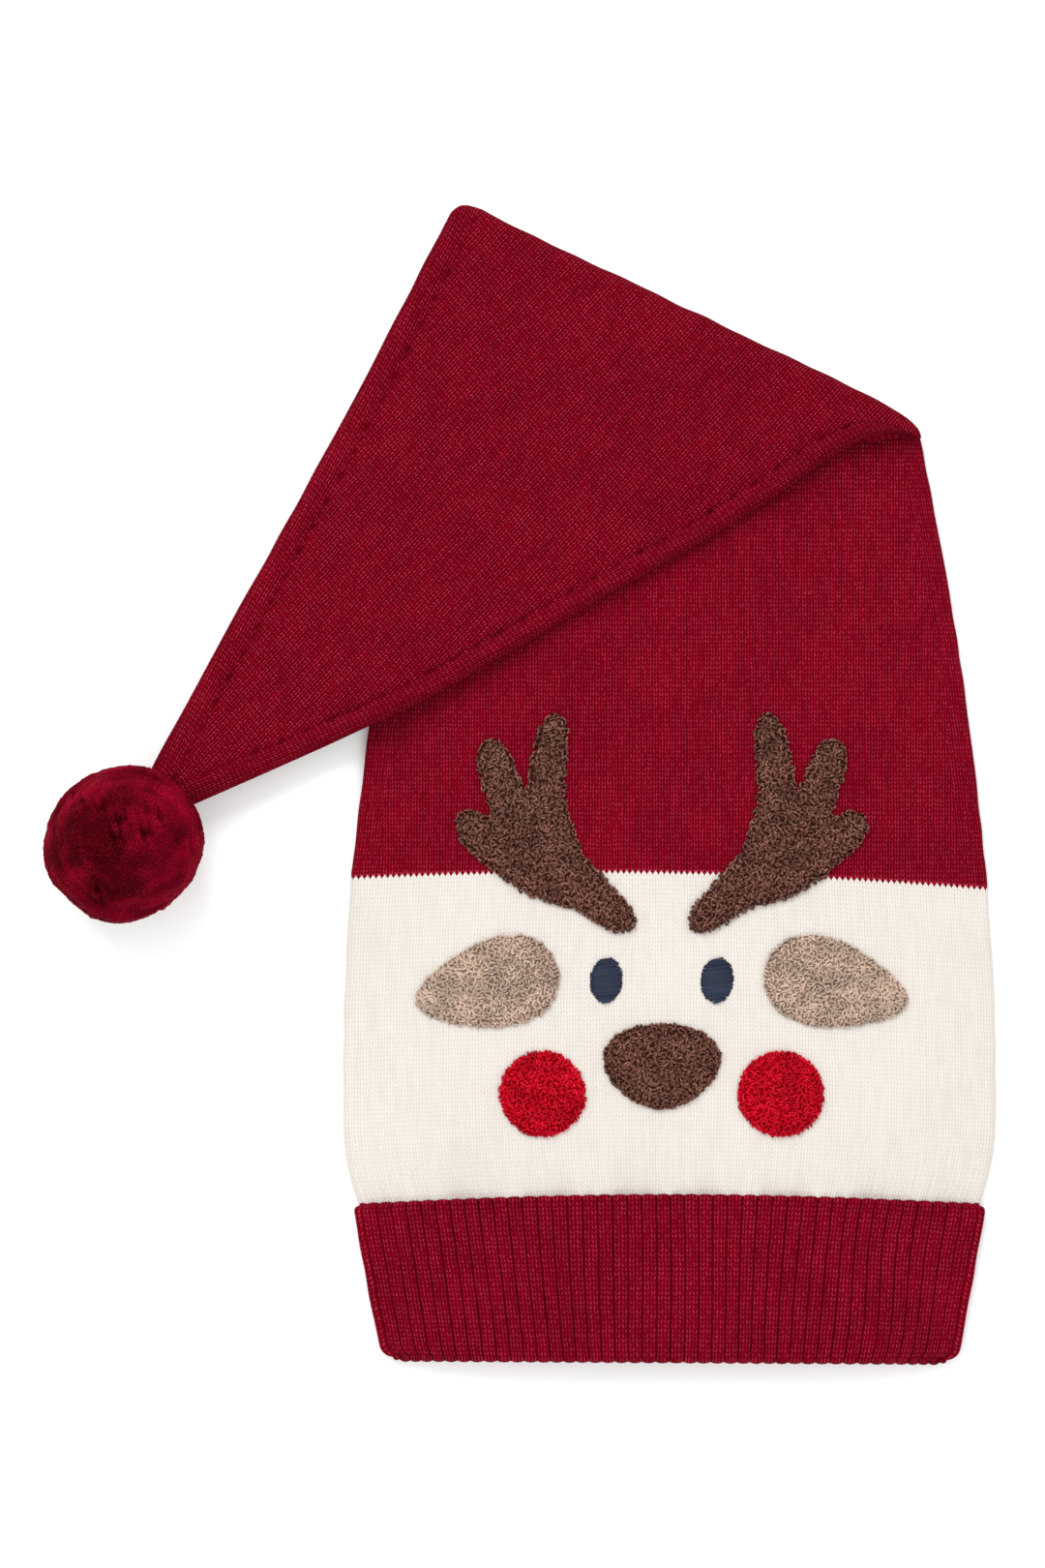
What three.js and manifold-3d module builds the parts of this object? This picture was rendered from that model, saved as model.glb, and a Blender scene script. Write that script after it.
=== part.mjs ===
// Knitted santa hat, lying flat with its front up: a long stocking crown folded over to one side,
// a cream face band, a ribbed cuff, a pompom, and a deer face of looped pile and satin stitch.
// Millimetres, +Z up, +Y from the cuff to the crown. The origin is the middle of the band's back,
// on the surface that the hat lies on.
import * as THREE from "three";
import { mergeVertices } from "three/addons/utils/BufferGeometryUtils.js";
import Module from "manifold-3d";

const wasm = await Module();
wasm.setup();
const { lerp, smoothstep, degToRad } = THREE.MathUtils;
const { Vector2, Vector3 } = THREE;

// Flat sizes of the knitted pieces
const CUFF_RIM_WIDTH = 207;
const CUFF_TOP_WIDTH = 228;
const CUFF_HEIGHT = 54.5;
const CUFF_STEP = 2; // how far the cuff's top stands out past the band, each side
const BAND_WIDTH = 236; // at its fullest
const BAND_HEIGHT = 120;
const CROWN_WIDTH = 230; // where the colour changes
const CROWN_TAPER = 0.15; // how far each edge comes in over a length of one
const CROWN_LEFT_HEIGHT = 239; // colour change to fold
const CROWN_RIGHT_HEIGHT = 162;
const TAIL_LENGTH = 250; // fold to pompom, down the tail's middle
const TAIL_HEADING = degToRad(221.9);
const TIP_WIDTH = 19;

// How far edges bow out of straight
const HEM_BOW = 4; // the cuff's top and the colour change arch up in the middle
const BORDER_TILT = 4; // the colour change drops to the right
const CROWN_EDGE_BOW = 2.4;
const LEFT_CORNER_TUCK = 1.5; // the fold's two ends pull in
const RIGHT_CORNER_TUCK = 7;

// Walls, and heights of the hat's front above the surface it lies on
const KNIT_WALL = 2;
const SIDE_CREASE = 0.6; // air inside the crease along each side
const CUFF_LOFT = 14;
const BAND_LOFT = 16;
const CROWN_LOFT = 14.5;
const FOLD_LOFT = 5.2;
const TAIL_LOFT = 7.6;
const TIP_LOFT = 8;
const EDGE_LOFT = 2 * KNIT_WALL + SIDE_CREASE;
const DOME_POWER = 4; // how flat the front is across its middle

// Ribs of the cuff
const RIB_COUNT = 42; // across the front, and again across the back
const RIB_RELIEF = 1.3;
const RIB_FLAT = 0.6; // the share of a rib's pitch that is its flat top
const BACK_DROP = 1.6; // the back of the cuff hangs a little below the front

// Soft puckers where the band gathers into the cuff
const PUCKER_COUNT = 8;
const PUCKER_DEPTH = 0.8;
const PUCKER_REACH = 14;

// Gaps
const JOIN_GAP = 0.3; // between pieces that touch
const LAYER_GAP = 1; // between the tail and the body under it
const DROOP_LENGTH = 60; // past the body's edge the tail sinks over this length
const DROOP_HEIGHT = 2;
const TIP_HEIGHT = 13; // underside of the tail where it meets the pompom

// Pompom
const POMPOM_DIAMETER = 57;
const PILE_DEPTH = 3.4;
const PILE_PRESSED = 1; // where the pompom rests
const TUFT_COUNT = 50;
const TUFT_RADIUS = 7;
const TUFT_UNEVEN = 1.1;
const POMPOM_SINK = 0.92; // distance from tip to centre, as a share of the pompom's radius
const POMPOM_SIDE = 3.6; // offset of the pompom from the tail's line

// Face, drawn about a line a little left of the hat's middle
const FACE_X = -3;
const PILE_RISE = 2.6;
const SATIN_RISE = 1.2;
const ANTLER_SPREAD = 58;
const ANTLER_HEIGHT = 72;
const ANTLER_STROKE = 14.5;
const ANTLER_FOOT = { out: 13, up: 43 };
const EAR = { out: 63, up: 20, length: 54, width: 31, tilt: degToRad(-14), narrow: 0.34 };
const EYE = { out: 20, up: 22, length: 12, width: 16.5, tilt: 0, narrow: 0 };
const CHEEK = { out: 43, up: -19, length: 31, width: 31, tilt: 0, narrow: 0 };
const NOSE = { out: 0, up: -9, length: 31, width: 42, tilt: degToRad(90), narrow: -0.2 };

// How finely the shapes are divided
const BODY_COLUMNS = 12;
const BAND_COLUMNS = 3 * PUCKER_COUNT;
const SIDE_STEPS = 3;
const CROWN_STEPS = 7;
const BEND_STEPS = 6;
const LIMB_STEPS = 8;
const PATCH_SIDES = 20;

// The band's shape between the cuff and the colour change: how much of its full width and its
// full height it has there
const BAND_SHAPE = [
  { up: 0.0, swell: 0.0, puff: 0.0 },
  { up: 0.06, swell: 0.4, puff: 0.35 },
  { up: 0.14, swell: 0.78, puff: 0.65 },
  { up: 0.22, swell: 0.96, puff: 0.88 },
  { up: 0.36, swell: 1.0, puff: 1.0 },
  { up: 0.57, swell: 0.94, puff: 0.95 },
  { up: 0.79, swell: 0.66, puff: 0.6 },
  { up: 1.0, swell: 0.0, puff: 0.0 },
];

// The tail from the fold to the pompom: how far each edge lies outside a straight line there, as
// shares of the fold's half width
const TAIL_SHAPE = [
  { down: 0.0, left: 0.0, right: 0.0 },
  { down: 0.06, left: -0.002, right: -0.064 },
  { down: 0.12, left: -0.004, right: -0.068 },
  { down: 0.18, left: -0.008, right: -0.029 },
  { down: 0.28, left: -0.011, right: -0.013 },
  { down: 0.42, left: -0.011, right: 0.009 },
  { down: 0.56, left: -0.007, right: 0.033 },
  { down: 0.7, left: -0.002, right: 0.044 },
  { down: 0.82, left: 0.0, right: 0.029 },
  { down: 0.92, left: 0.0, right: 0.011 },
  { down: 1.0, left: 0.0, right: 0.0 },
];

// An antler's limbs, as shares of its spread and height
const ANTLER_LIMBS = [
  { name: "beam", points: [[0, 0], [0.2, 0.13], [0.4, 0.34], [0.49, 0.64], [0.44, 1]] },
  { name: "lower_tine", points: [[0.22, 0.16], [0.6, 0.24], [1, 0.5]] },
  { name: "upper_tine", points: [[0.42, 0.42], [0.7, 0.56], [0.84, 0.86]] },
];

// Width of a limb along its length, and the outline across a patch, as shares
const LIMB_WIDTH = [
  { at: 0, width: 0.45 },
  { at: 0.1, width: 0.86 },
  { at: 0.25, width: 1 },
  { at: 0.85, width: 0.9 },
  { at: 0.95, width: 0.72 },
  { at: 1, width: 0.4 },
];
const PILE_PROFILE = [
  { out: 1, rise: 0 },
  { out: 1, rise: 0.45 },
  { out: 0.88, rise: 0.85 },
  { out: 0.55, rise: 1 },
];

// The value of a column at a place in a table, on straight lines between its rows
function fromTable(rows, key, place, column) {
  const last = rows.findIndex((row) => row[key] >= place);
  if (last <= 0) return rows[Math.max(0, last)][column];
  const a = rows[last - 1];
  const b = rows[last];
  return lerp(a[column], b[column], (place - a[key]) / (b[key] - a[key]));
}

// A section is a line across the flat hat, from its left edge to its right
function section(left, right, bow, loft) {
  const across = right.clone().sub(left);
  const centre = left.clone().add(right).multiplyScalar(0.5);
  return { centre, half: across.length() / 2, way: across.normalize(), bow, loft };
}

function cuffSection(share) {
  const half = lerp(CUFF_RIM_WIDTH, CUFF_TOP_WIDTH, share) / 2;
  const y = -BAND_HEIGHT / 2 - CUFF_HEIGHT * (1 - share);
  return section(new Vector2(-half, y), new Vector2(half, y), HEM_BOW * share, CUFF_LOFT);
}

function bandSection(share) {
  const plain = lerp(CUFF_TOP_WIDTH - 2 * CUFF_STEP, CROWN_WIDTH, share);
  const half = lerp(plain, BAND_WIDTH, fromTable(BAND_SHAPE, "up", share, "swell")) / 2;
  const low = lerp(CUFF_LOFT, CROWN_LOFT, share);
  const loft = lerp(low, BAND_LOFT, fromTable(BAND_SHAPE, "up", share, "puff"));
  const y = BAND_HEIGHT * (share - 0.5);
  const left = new Vector2(-half, y);
  return section(left, new Vector2(half, y - BORDER_TILT * share), HEM_BOW, loft);
}

function crownSection(share) {
  const swell = CROWN_EDGE_BOW * Math.sin(Math.PI * share);
  const edge = (height) => CROWN_WIDTH / 2 - CROWN_TAPER * height * share + swell;
  const left = new Vector2(-edge(CROWN_LEFT_HEIGHT), BAND_HEIGHT / 2 + CROWN_LEFT_HEIGHT * share);
  const rightStart = BAND_HEIGHT / 2 - BORDER_TILT;
  const right = new Vector2(edge(CROWN_RIGHT_HEIGHT), rightStart + CROWN_RIGHT_HEIGHT * share);
  const loft = lerp(FOLD_LOFT, CROWN_LOFT, (1 - share) ** 2);
  return section(left, right, HEM_BOW * (1 - share), loft);
}

const FOLD = crownSection(1);
const FOLD_OUTWARD = new Vector2(-FOLD.way.y, FOLD.way.x);
const TAIL_WAY = new Vector2(Math.cos(TAIL_HEADING), Math.sin(TAIL_HEADING));
const TAIL_TIP = FOLD.centre.clone().addScaledVector(TAIL_WAY, TAIL_LENGTH);

function tailSection(share) {
  const leftWay = new Vector2(TAIL_WAY.y, -TAIL_WAY.x);
  const edge = (side, key) => {
    const start = FOLD.centre.clone().addScaledVector(FOLD.way, -side * FOLD.half);
    const end = TAIL_TIP.clone().addScaledVector(leftWay, (side * TIP_WIDTH) / 2);
    const outward = side * FOLD.half * fromTable(TAIL_SHAPE, "down", share, key);
    return start.lerp(end, share).addScaledVector(leftWay, outward);
  };
  const rising = smoothstep(share, 0, 0.25);
  const loft = lerp(FOLD_LOFT, lerp(TAIL_LOFT, TIP_LOFT, share), rising);
  return section(edge(1, "left"), edge(-1, "right"), 0, loft);
}

// Plan place of a point on a section, by its distance from the section's middle
function planPoint(sec, along) {
  const point = sec.centre.clone().addScaledVector(sec.way, along);
  point.y += sec.bow * (1 - (along / sec.half) ** 2);
  return point;
}

// Height of the front above the back at that distance
function frontHeight(sec, along) {
  const reach = sec.half - EDGE_LOFT / 2;
  const share = Math.min(1, Math.abs(along) / reach);
  return lerp(sec.loft, EDGE_LOFT, share ** DOME_POWER);
}

// The body's section through a place in plan. Stations run 0 to 1 up the cuff, to 2 up the band
// and to 3 up the crown.
function bodySection(station) {
  if (station < 1) return cuffSection(station);
  return station < 2 ? bandSection(station - 1) : crownSection(Math.min(1, station - 2));
}

function sectionThrough(x, y) {
  const alongAt = (sec) => (x - sec.centre.x) / sec.way.x;
  let [low, high] = [0, 3];
  for (let i = 0; i < 24; i++) {
    const middle = (low + high) / 2;
    const sec = bodySection(middle);
    if (planPoint(sec, alongAt(sec)).y < y) low = middle;
    else high = middle;
  }
  const sec = bodySection(low);
  return { sec, along: alongAt(sec) };
}

// Soft waves on the band's front, fading upwards from the cuff
function pucker(x, y) {
  const above = Math.max(0, y + BAND_HEIGHT / 2 - HEM_BOW);
  const wave = Math.cos((2 * Math.PI * PUCKER_COUNT * x) / BAND_WIDTH);
  const side = 1 - Math.min(1, Math.abs(x) / (BAND_WIDTH / 2)) ** DOME_POWER;
  return PUCKER_DEPTH * wave * side * Math.exp(-above / PUCKER_REACH);
}

function bodyTop(x, y) {
  const { sec, along } = sectionThrough(x, y);
  return frontHeight(sec, along) + pucker(x, y);
}

// Height of the tail's underside: on the body, sinking past the body's left edge, then rising
// to the pompom
function restHeight(plan, share) {
  const { sec, along } = sectionThrough(plan.x, plan.y);
  const past = -along - sec.half;
  const onBody = sec.loft + LAYER_GAP;
  const drooped = lerp(onBody, DROOP_HEIGHT, smoothstep(past, -DROOP_LENGTH / 8, DROOP_LENGTH));
  return lerp(drooped, TIP_HEIGHT, smoothstep(share, 0.5, 1));
}

// The flattened tube's outline at a section. Each point has its distance along the section and
// its height above the back. An inset of 0 is the outside and KNIT_WALL the inside.
function ring(sec, inset, columns) {
  const radius = EDGE_LOFT / 2;
  const reach = sec.half - radius;
  const crease = (side) =>
    Array.from({ length: SIDE_STEPS - 1 }, (_, i) => {
      const turn = Math.PI * ((i + 1) / SIDE_STEPS - 0.5) * side;
      const out = (radius - inset) * Math.cos(turn);
      return { along: side * (reach + out), up: radius + (radius - inset) * Math.sin(turn), raise: 0 };
    });
  const back = columns.map((c) => ({ along: c.at * reach, up: inset, raise: -c.raise }));
  const front = columns.map((c) => {
    const along = c.at * reach;
    return { along, up: frontHeight(sec, along) - inset, raise: c.raise };
  });
  return [...back, ...crease(1), ...front.reverse(), ...crease(-1)];
}

function evenColumns(count) {
  return Array.from({ length: count + 1 }, (_, i) => ({ at: (2 * i) / count - 1, raise: 0 }));
}

// Ribs and the grooves between them, as columns across the cuff
function ribColumns() {
  const pitch = 2 / RIB_COUNT;
  const columns = [{ at: -1, raise: 0 }];
  for (let i = 0; i < RIB_COUNT; i++) {
    const start = -1 + (i + (1 - RIB_FLAT) / 2) * pitch;
    columns.push({ at: start, raise: 1 }, { at: start + RIB_FLAT * pitch, raise: 1 });
    columns.push({ at: -1 + (i + 1) * pitch, raise: 0 });
  }
  return columns;
}

// Points of one ring in space, on the body, round the fold or on the tail
function ringOnBody(sec, inset, columns) {
  return ring(sec, inset, columns).map((p) => {
    const plan = planPoint(sec, p.along);
    const onFront = p.up > EDGE_LOFT ? pucker(plan.x, plan.y) : 0;
    return new Vector3(plan.x, plan.y, p.up + onFront);
  });
}

function ringRoundFold(turn, inset, columns) {
  return ring(FOLD, inset, columns).map((p) => {
    const tuck = p.along < 0 ? LEFT_CORNER_TUCK : RIGHT_CORNER_TUCK;
    const plan = planPoint(FOLD, p.along * (1 - (tuck / FOLD.half) * Math.sin(turn)));
    const axis = (restHeight(plan, 0) + frontHeight(FOLD, p.along)) / 2;
    const arm = axis - p.up;
    plan.addScaledVector(FOLD_OUTWARD, arm * Math.sin(turn));
    return new Vector3(plan.x, plan.y, axis - arm * Math.cos(turn));
  });
}

function ringOnTail(share, inset, columns) {
  const sec = tailSection(share);
  return ring(sec, inset, columns).map((p) => {
    const plan = planPoint(sec, p.along);
    const height = restHeight(plan, share) + frontHeight(sec, p.along) - p.up;
    return new Vector3(plan.x, plan.y, height);
  });
}

function geometryOf(points, faces) {
  const a = new Vector3();
  const volume = faces.reduce((sum, [i, j, k]) => {
    return sum + points[i].dot(a.crossVectors(points[j], points[k]));
  }, 0);
  const outward = volume > 0 ? faces : faces.map(([i, j, k]) => [i, k, j]);
  const geometry = new THREE.BufferGeometry().setFromPoints(points);
  return geometry.setIndex(outward.flat());
}

// Joins rings of equal size into walls. Each start is a ring's first point.
function wallFaces(starts, size) {
  const faces = [];
  for (let row = 1; row < starts.length; row++) {
    for (let i = 0; i < size; i++) {
      const next = (i + 1) % size;
      const [a, b] = [starts[row - 1], starts[row]];
      faces.push([a + i, b + i, b + next], [a + i, b + next, a + next]);
    }
  }
  return faces;
}

// A ring closed with triangles to its own centre
function capFaces(points, start, size, reversed) {
  const centre = new Vector3();
  for (let i = 0; i < size; i++) centre.addScaledVector(points[start + i], 1 / size);
  points.push(centre);
  const middle = points.length - 1;
  return Array.from({ length: size }, (_, i) => {
    const [a, b] = [start + i, start + ((i + 1) % size)];
    return reversed ? [b, a, middle] : [a, b, middle];
  });
}

// A knitted wall from its outer and inner rings, open at the first and open or closed at the last
function knitWall(outer, inner, closed) {
  const size = outer[0].length;
  const points = [...outer.flat(), ...inner.flat()];
  const outerStarts = outer.map((_, i) => i * size);
  const innerStarts = inner.map((_, i) => (outer.length + i) * size);
  if (!closed) {
    const loop = [...outerStarts, ...innerStarts.toReversed(), outerStarts[0]];
    return geometryOf(points, wallFaces(loop, size));
  }
  const loop = [...outerStarts.toReversed(), ...innerStarts];
  const faces = wallFaces(loop, size);
  faces.push(...capFaces(points, outerStarts.at(-1), size, false));
  faces.push(...capFaces(points, innerStarts.at(-1), size, true));
  return geometryOf(points, faces);
}

// Solid from rings, closed at both ends
function solidFromRings(rings) {
  const size = rings[0].length;
  const points = rings.flat();
  const starts = rings.map((_, i) => i * size);
  const faces = wallFaces(starts, size);
  faces.push(...capFaces(points, starts[0], size, false));
  faces.push(...capFaces(points, starts.at(-1), size, true));
  return geometryOf(points, faces);
}

// To and from the solids that are joined and cut
function toSolid(geometry) {
  const bare = new THREE.BufferGeometry();
  bare.setAttribute("position", geometry.getAttribute("position").clone());
  if (geometry.index) bare.setIndex(geometry.index.clone());
  const merged = mergeVertices(bare, 1e-4);
  const vertProperties = new Float32Array(merged.attributes.position.array);
  const triVerts = new Uint32Array(merged.index.array);
  return new wasm.Manifold(new wasm.Mesh({ numProp: 3, vertProperties, triVerts }));
}

function toGeometry(solid) {
  const mesh = solid.getMesh();
  const geometry = new THREE.BufferGeometry();
  const positions = new Float32Array(mesh.vertProperties);
  geometry.setAttribute("position", new THREE.BufferAttribute(positions, 3));
  return geometry.setIndex(new THREE.BufferAttribute(new Uint32Array(mesh.triVerts), 1));
}

function largestBody(solid) {
  return solid.decompose().reduce((a, b) => (b.volume() > a.volume() ? b : a));
}

function shares(steps) {
  return Array.from({ length: steps + 1 }, (_, i) => i / steps);
}

// A section moved along the hat by a small gap
function nudged(sec, by) {
  const centre = sec.centre.clone();
  centre.y += by;
  return { ...sec, centre };
}

const POMPOM_RADIUS = POMPOM_DIAMETER / 2;
const CORE_RADIUS = POMPOM_RADIUS - PILE_DEPTH;
const POMPOM_CENTRE = new Vector3(
  TAIL_TIP.x + TAIL_WAY.x * POMPOM_RADIUS * POMPOM_SINK - TAIL_WAY.y * POMPOM_SIDE,
  TAIL_TIP.y + TAIL_WAY.y * POMPOM_RADIUS * POMPOM_SINK + TAIL_WAY.x * POMPOM_SIDE,
  POMPOM_RADIUS - PILE_PRESSED,
);

function ballSolid(radius, detail) {
  const ball = new THREE.IcosahedronGeometry(radius, detail);
  ball.deleteAttribute("normal");
  ball.deleteAttribute("uv");
  return toSolid(ball.translate(...POMPOM_CENTRE));
}

function makeCuff() {
  const columns = ribColumns();
  const rib = (sec, inset) =>
    ring(sec, inset, columns).map((p) => {
      const plan = planPoint(sec, p.along);
      const relief = inset > 0 ? 0 : p.raise * RIB_RELIEF;
      const drop = p.up < EDGE_LOFT / 2 ? BACK_DROP : 0;
      const nearRim = smoothstep(-plan.y, BAND_HEIGHT / 2, BAND_HEIGHT / 2 + CUFF_HEIGHT);
      return new Vector3(plan.x, plan.y - drop * nearRim, RIB_RELIEF + p.up + relief);
    });
  const sections = [cuffSection(0), nudged(cuffSection(1), -JOIN_GAP / 2)];
  const outer = sections.map((sec) => rib(sec, 0));
  const inner = sections.map((sec) => rib(sec, KNIT_WALL));
  return knitWall(outer, inner, false);
}

function makeBand() {
  const columns = evenColumns(BAND_COLUMNS);
  const sections = BAND_SHAPE.map((row) => bandSection(row.up));
  sections[0] = nudged(sections[0], JOIN_GAP / 2);
  sections.push(nudged(sections.pop(), -JOIN_GAP / 2));
  const outer = sections.map((sec) => ringOnBody(sec, 0, columns));
  const inner = sections.map((sec) => ringOnBody(sec, KNIT_WALL, columns));
  return knitWall(outer, inner, false);
}

// Rings up the crown, round the fold and down the tail
function crownRings(inset, columns) {
  const body = shares(CROWN_STEPS).map((share) => {
    const sec = crownSection(share);
    return ringOnBody(share > 0 ? sec : nudged(sec, JOIN_GAP / 2), inset, columns);
  });
  const turns = shares(BEND_STEPS).slice(1, -1);
  const fold = turns.map((share) => ringRoundFold(share * Math.PI, inset, columns));
  const tail = TAIL_SHAPE.map((row) => ringOnTail(row.down, inset, columns));
  return [...body, ...fold, ...tail];
}

function makeCrown() {
  const columns = evenColumns(BODY_COLUMNS);
  const inside = crownRings(KNIT_WALL, columns).slice(0, -1);
  const tube = toSolid(knitWall(crownRings(0, columns), inside, true));
  return toGeometry(largestBody(tube.subtract(ballSolid(CORE_RADIUS + JOIN_GAP, 3))));
}

// Repeatable numbers from 0 to 1 for the pile's unevenness
function scatter(seed) {
  const wave = Math.sin(seed * 12.9898) * 43758.5453;
  return wave - Math.floor(wave);
}

// One lock of the pompom's pile, from inside its core to its surface
function tuft(index) {
  const height = 1 - (2 * (index + 0.5)) / TUFT_COUNT;
  const round = index * Math.PI * (3 - Math.sqrt(5));
  const flat = Math.sqrt(1 - height * height);
  const way = new Vector3(flat * Math.cos(round), flat * Math.sin(round), height);
  const full = Math.sqrt(POMPOM_RADIUS ** 2 - TUFT_RADIUS ** 2);
  const top = full - TUFT_UNEVEN * scatter(index + 1);
  const root = CORE_RADIUS - PILE_DEPTH;
  const length = top - root;
  const lock = new THREE.CylinderGeometry(TUFT_RADIUS, (TUFT_RADIUS * root) / top, length, 5);
  lock.deleteAttribute("normal");
  lock.deleteAttribute("uv");
  lock.rotateY(2 * Math.PI * scatter(index + 0.5));
  lock.translate(0, top - length / 2, 0);
  lock.applyQuaternion(new THREE.Quaternion().setFromUnitVectors(new Vector3(0, 1, 0), way));
  return toSolid(lock.translate(...POMPOM_CENTRE));
}

// Core and locks, with room left for the tail, pressed flat where they rest on the surface
function makePompom() {
  const core = ballSolid(CORE_RADIUS, 1);
  const locks = Array.from({ length: TUFT_COUNT }, (_, i) => tuft(i));
  const ball = locks.reduce((all, lock) => all.add(lock), core);
  const columns = evenColumns(BODY_COLUMNS);
  const last = TAIL_SHAPE.slice(-3);
  const tail = last.map((row) => ringOnTail(row.down, -JOIN_GAP, columns));
  const room = toSolid(solidFromRings(tail)).subtract(core);
  return toGeometry(largestBody(ball.subtract(room).trimByPlane([0, 0, 1], 0)));
}

// A place on the front of the hat, raised by a share of a patch's rise
function onFront(x, y, rise) {
  return new Vector3(x, y, bodyTop(x, y) + JOIN_GAP + rise);
}

// A rounded patch. Its outline is an oval, narrower at its outer end or, below 0, its inner end.
function makePatch(shape, side, rise) {
  const outline = shares(PATCH_SIDES).slice(1).map((share) => {
    const turn = 2 * Math.PI * share;
    const taper = 1 - shape.narrow * Math.cos(turn);
    const long = (shape.length / 2) * Math.cos(turn);
    return new Vector2(long, (shape.width / 2) * Math.sin(turn) * taper).rotateAround(
      new Vector2(),
      shape.tilt,
    );
  });
  const ringAt = (out, up) =>
    outline.map((p) => {
      const x = FACE_X + side * (shape.out + p.x * out);
      return onFront(x, shape.up + p.y * out, rise * up);
    });
  const under = ringAt(0.5, 0);
  return solidFromRings([under, ...PILE_PROFILE.map((row) => ringAt(row.out, row.rise))]);
}

// One limb of an antler: a rounded strip along a smooth line on the front of the hat
function limbSolid(limb, side) {
  const spine = new THREE.SplineCurve(
    limb.points.map(([out, up]) => {
      const x = FACE_X + side * (ANTLER_FOOT.out + out * ANTLER_SPREAD);
      return new Vector2(x, ANTLER_FOOT.up + up * ANTLER_HEIGHT);
    }),
  );
  const across = [
    ...PILE_PROFILE.map((row) => ({ side: -row.out, rise: row.rise })),
    { side: 0, rise: 1 },
    ...PILE_PROFILE.toReversed().map((row) => ({ side: row.out, rise: row.rise })),
    { side: 0, rise: 0 },
  ];
  const rings = shares(LIMB_STEPS).map((share) => {
    const at = (1 - Math.cos(Math.PI * share)) / 2;
    const middle = spine.getPoint(at);
    const way = spine.getTangent(at);
    const half = (ANTLER_STROKE / 2) * fromTable(LIMB_WIDTH, "at", at, "width");
    return across.map((p) => {
      const x = middle.x - way.y * half * p.side;
      return onFront(x, middle.y + way.x * half * p.side, PILE_RISE * p.rise);
    });
  });
  return toSolid(solidFromRings(rings));
}

function makeAntler(side) {
  const limbs = ANTLER_LIMBS.map((limb) => limbSolid(limb, side));
  return toGeometry(largestBody(limbs.reduce((all, limb) => all.add(limb))));
}

// Colour and roughness of each yarn
const RED_KNIT = { color: "#7f0d20", roughness: 0.9 };
const CREAM_KNIT = { color: "#f5ece3", roughness: 0.9 };
const RED_RIB = { color: "#7c0a20", roughness: 0.9 };
const WINE_PILE = { color: "#5e0312", roughness: 1 };
const BROWN_PILE = { color: "#5e3c32", roughness: 1 };
const TAUPE_PILE = { color: "#a88e7e", roughness: 1 };
const SCARLET_PILE = { color: "#b30a1d", roughness: 1 };
const NAVY_SATIN = { color: "#303c57", roughness: 0.5 };

const hat = new THREE.Group();

function addPiece(name, geometry, yarn) {
  const material = new THREE.MeshStandardMaterial({ ...yarn, metalness: 0, name });
  const mesh = new THREE.Mesh(geometry, material);
  mesh.name = name;
  hat.add(mesh);
}

addPiece("crown", makeCrown(), RED_KNIT);
addPiece("face_band", makeBand(), CREAM_KNIT);
addPiece("rib_cuff", makeCuff(), RED_RIB);
addPiece("pompom", makePompom(), WINE_PILE);
addPiece("nose", makePatch(NOSE, 1, PILE_RISE), BROWN_PILE);
for (const [name, side] of [["left", -1], ["right", 1]]) {
  addPiece(`antler_${name}`, makeAntler(side), BROWN_PILE);
  addPiece(`ear_${name}`, makePatch(EAR, side, PILE_RISE), TAUPE_PILE);
  addPiece(`eye_${name}`, makePatch(EYE, side, SATIN_RISE), NAVY_SATIN);
  addPiece(`cheek_${name}`, makePatch(CHEEK, side, PILE_RISE), SCARLET_PILE);
}

export default hat;
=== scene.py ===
# %% [markdown]
# # A knitted santa hat
#
# The hat lies flat on its back: a long red stocking folded over to one side, a cream band with a
# deer's face, a rib cuff and a pompom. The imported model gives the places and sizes, and this script
# makes the cloth. Everything is worked out in millimetres of real knitting, and becomes metres only
# when a mesh is written, so that each number can be compared with a hat in the hand.

# %% Loading the frame
import math
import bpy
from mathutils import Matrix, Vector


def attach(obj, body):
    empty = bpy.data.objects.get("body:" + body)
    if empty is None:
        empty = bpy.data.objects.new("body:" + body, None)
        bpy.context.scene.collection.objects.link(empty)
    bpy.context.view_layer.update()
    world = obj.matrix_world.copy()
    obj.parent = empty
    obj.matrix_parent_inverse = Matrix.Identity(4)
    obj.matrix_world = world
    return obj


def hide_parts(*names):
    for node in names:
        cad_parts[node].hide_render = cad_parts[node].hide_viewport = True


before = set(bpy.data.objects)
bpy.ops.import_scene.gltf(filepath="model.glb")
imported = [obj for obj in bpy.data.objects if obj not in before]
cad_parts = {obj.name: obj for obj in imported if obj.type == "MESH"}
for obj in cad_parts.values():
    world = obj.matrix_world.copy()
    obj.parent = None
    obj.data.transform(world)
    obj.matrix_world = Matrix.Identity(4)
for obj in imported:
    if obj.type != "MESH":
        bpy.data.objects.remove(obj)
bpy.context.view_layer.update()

from types import SimpleNamespace

import bpy
import numpy as np

MM = 0.001

# %% [markdown]
# ## Camera, floor and light
#
# The hat was photographed from straight above, so the camera looks straight down. A long lens keeps
# the tall pompom from leaning outwards, as the plain outline in the picture asks. The floor is a pale
# sheet, and the light is a large soft window high behind the hat, with a weaker one opposite: soft
# enough for a clean picture, and low enough to let the ribs and the fold cast a little shade.

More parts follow.
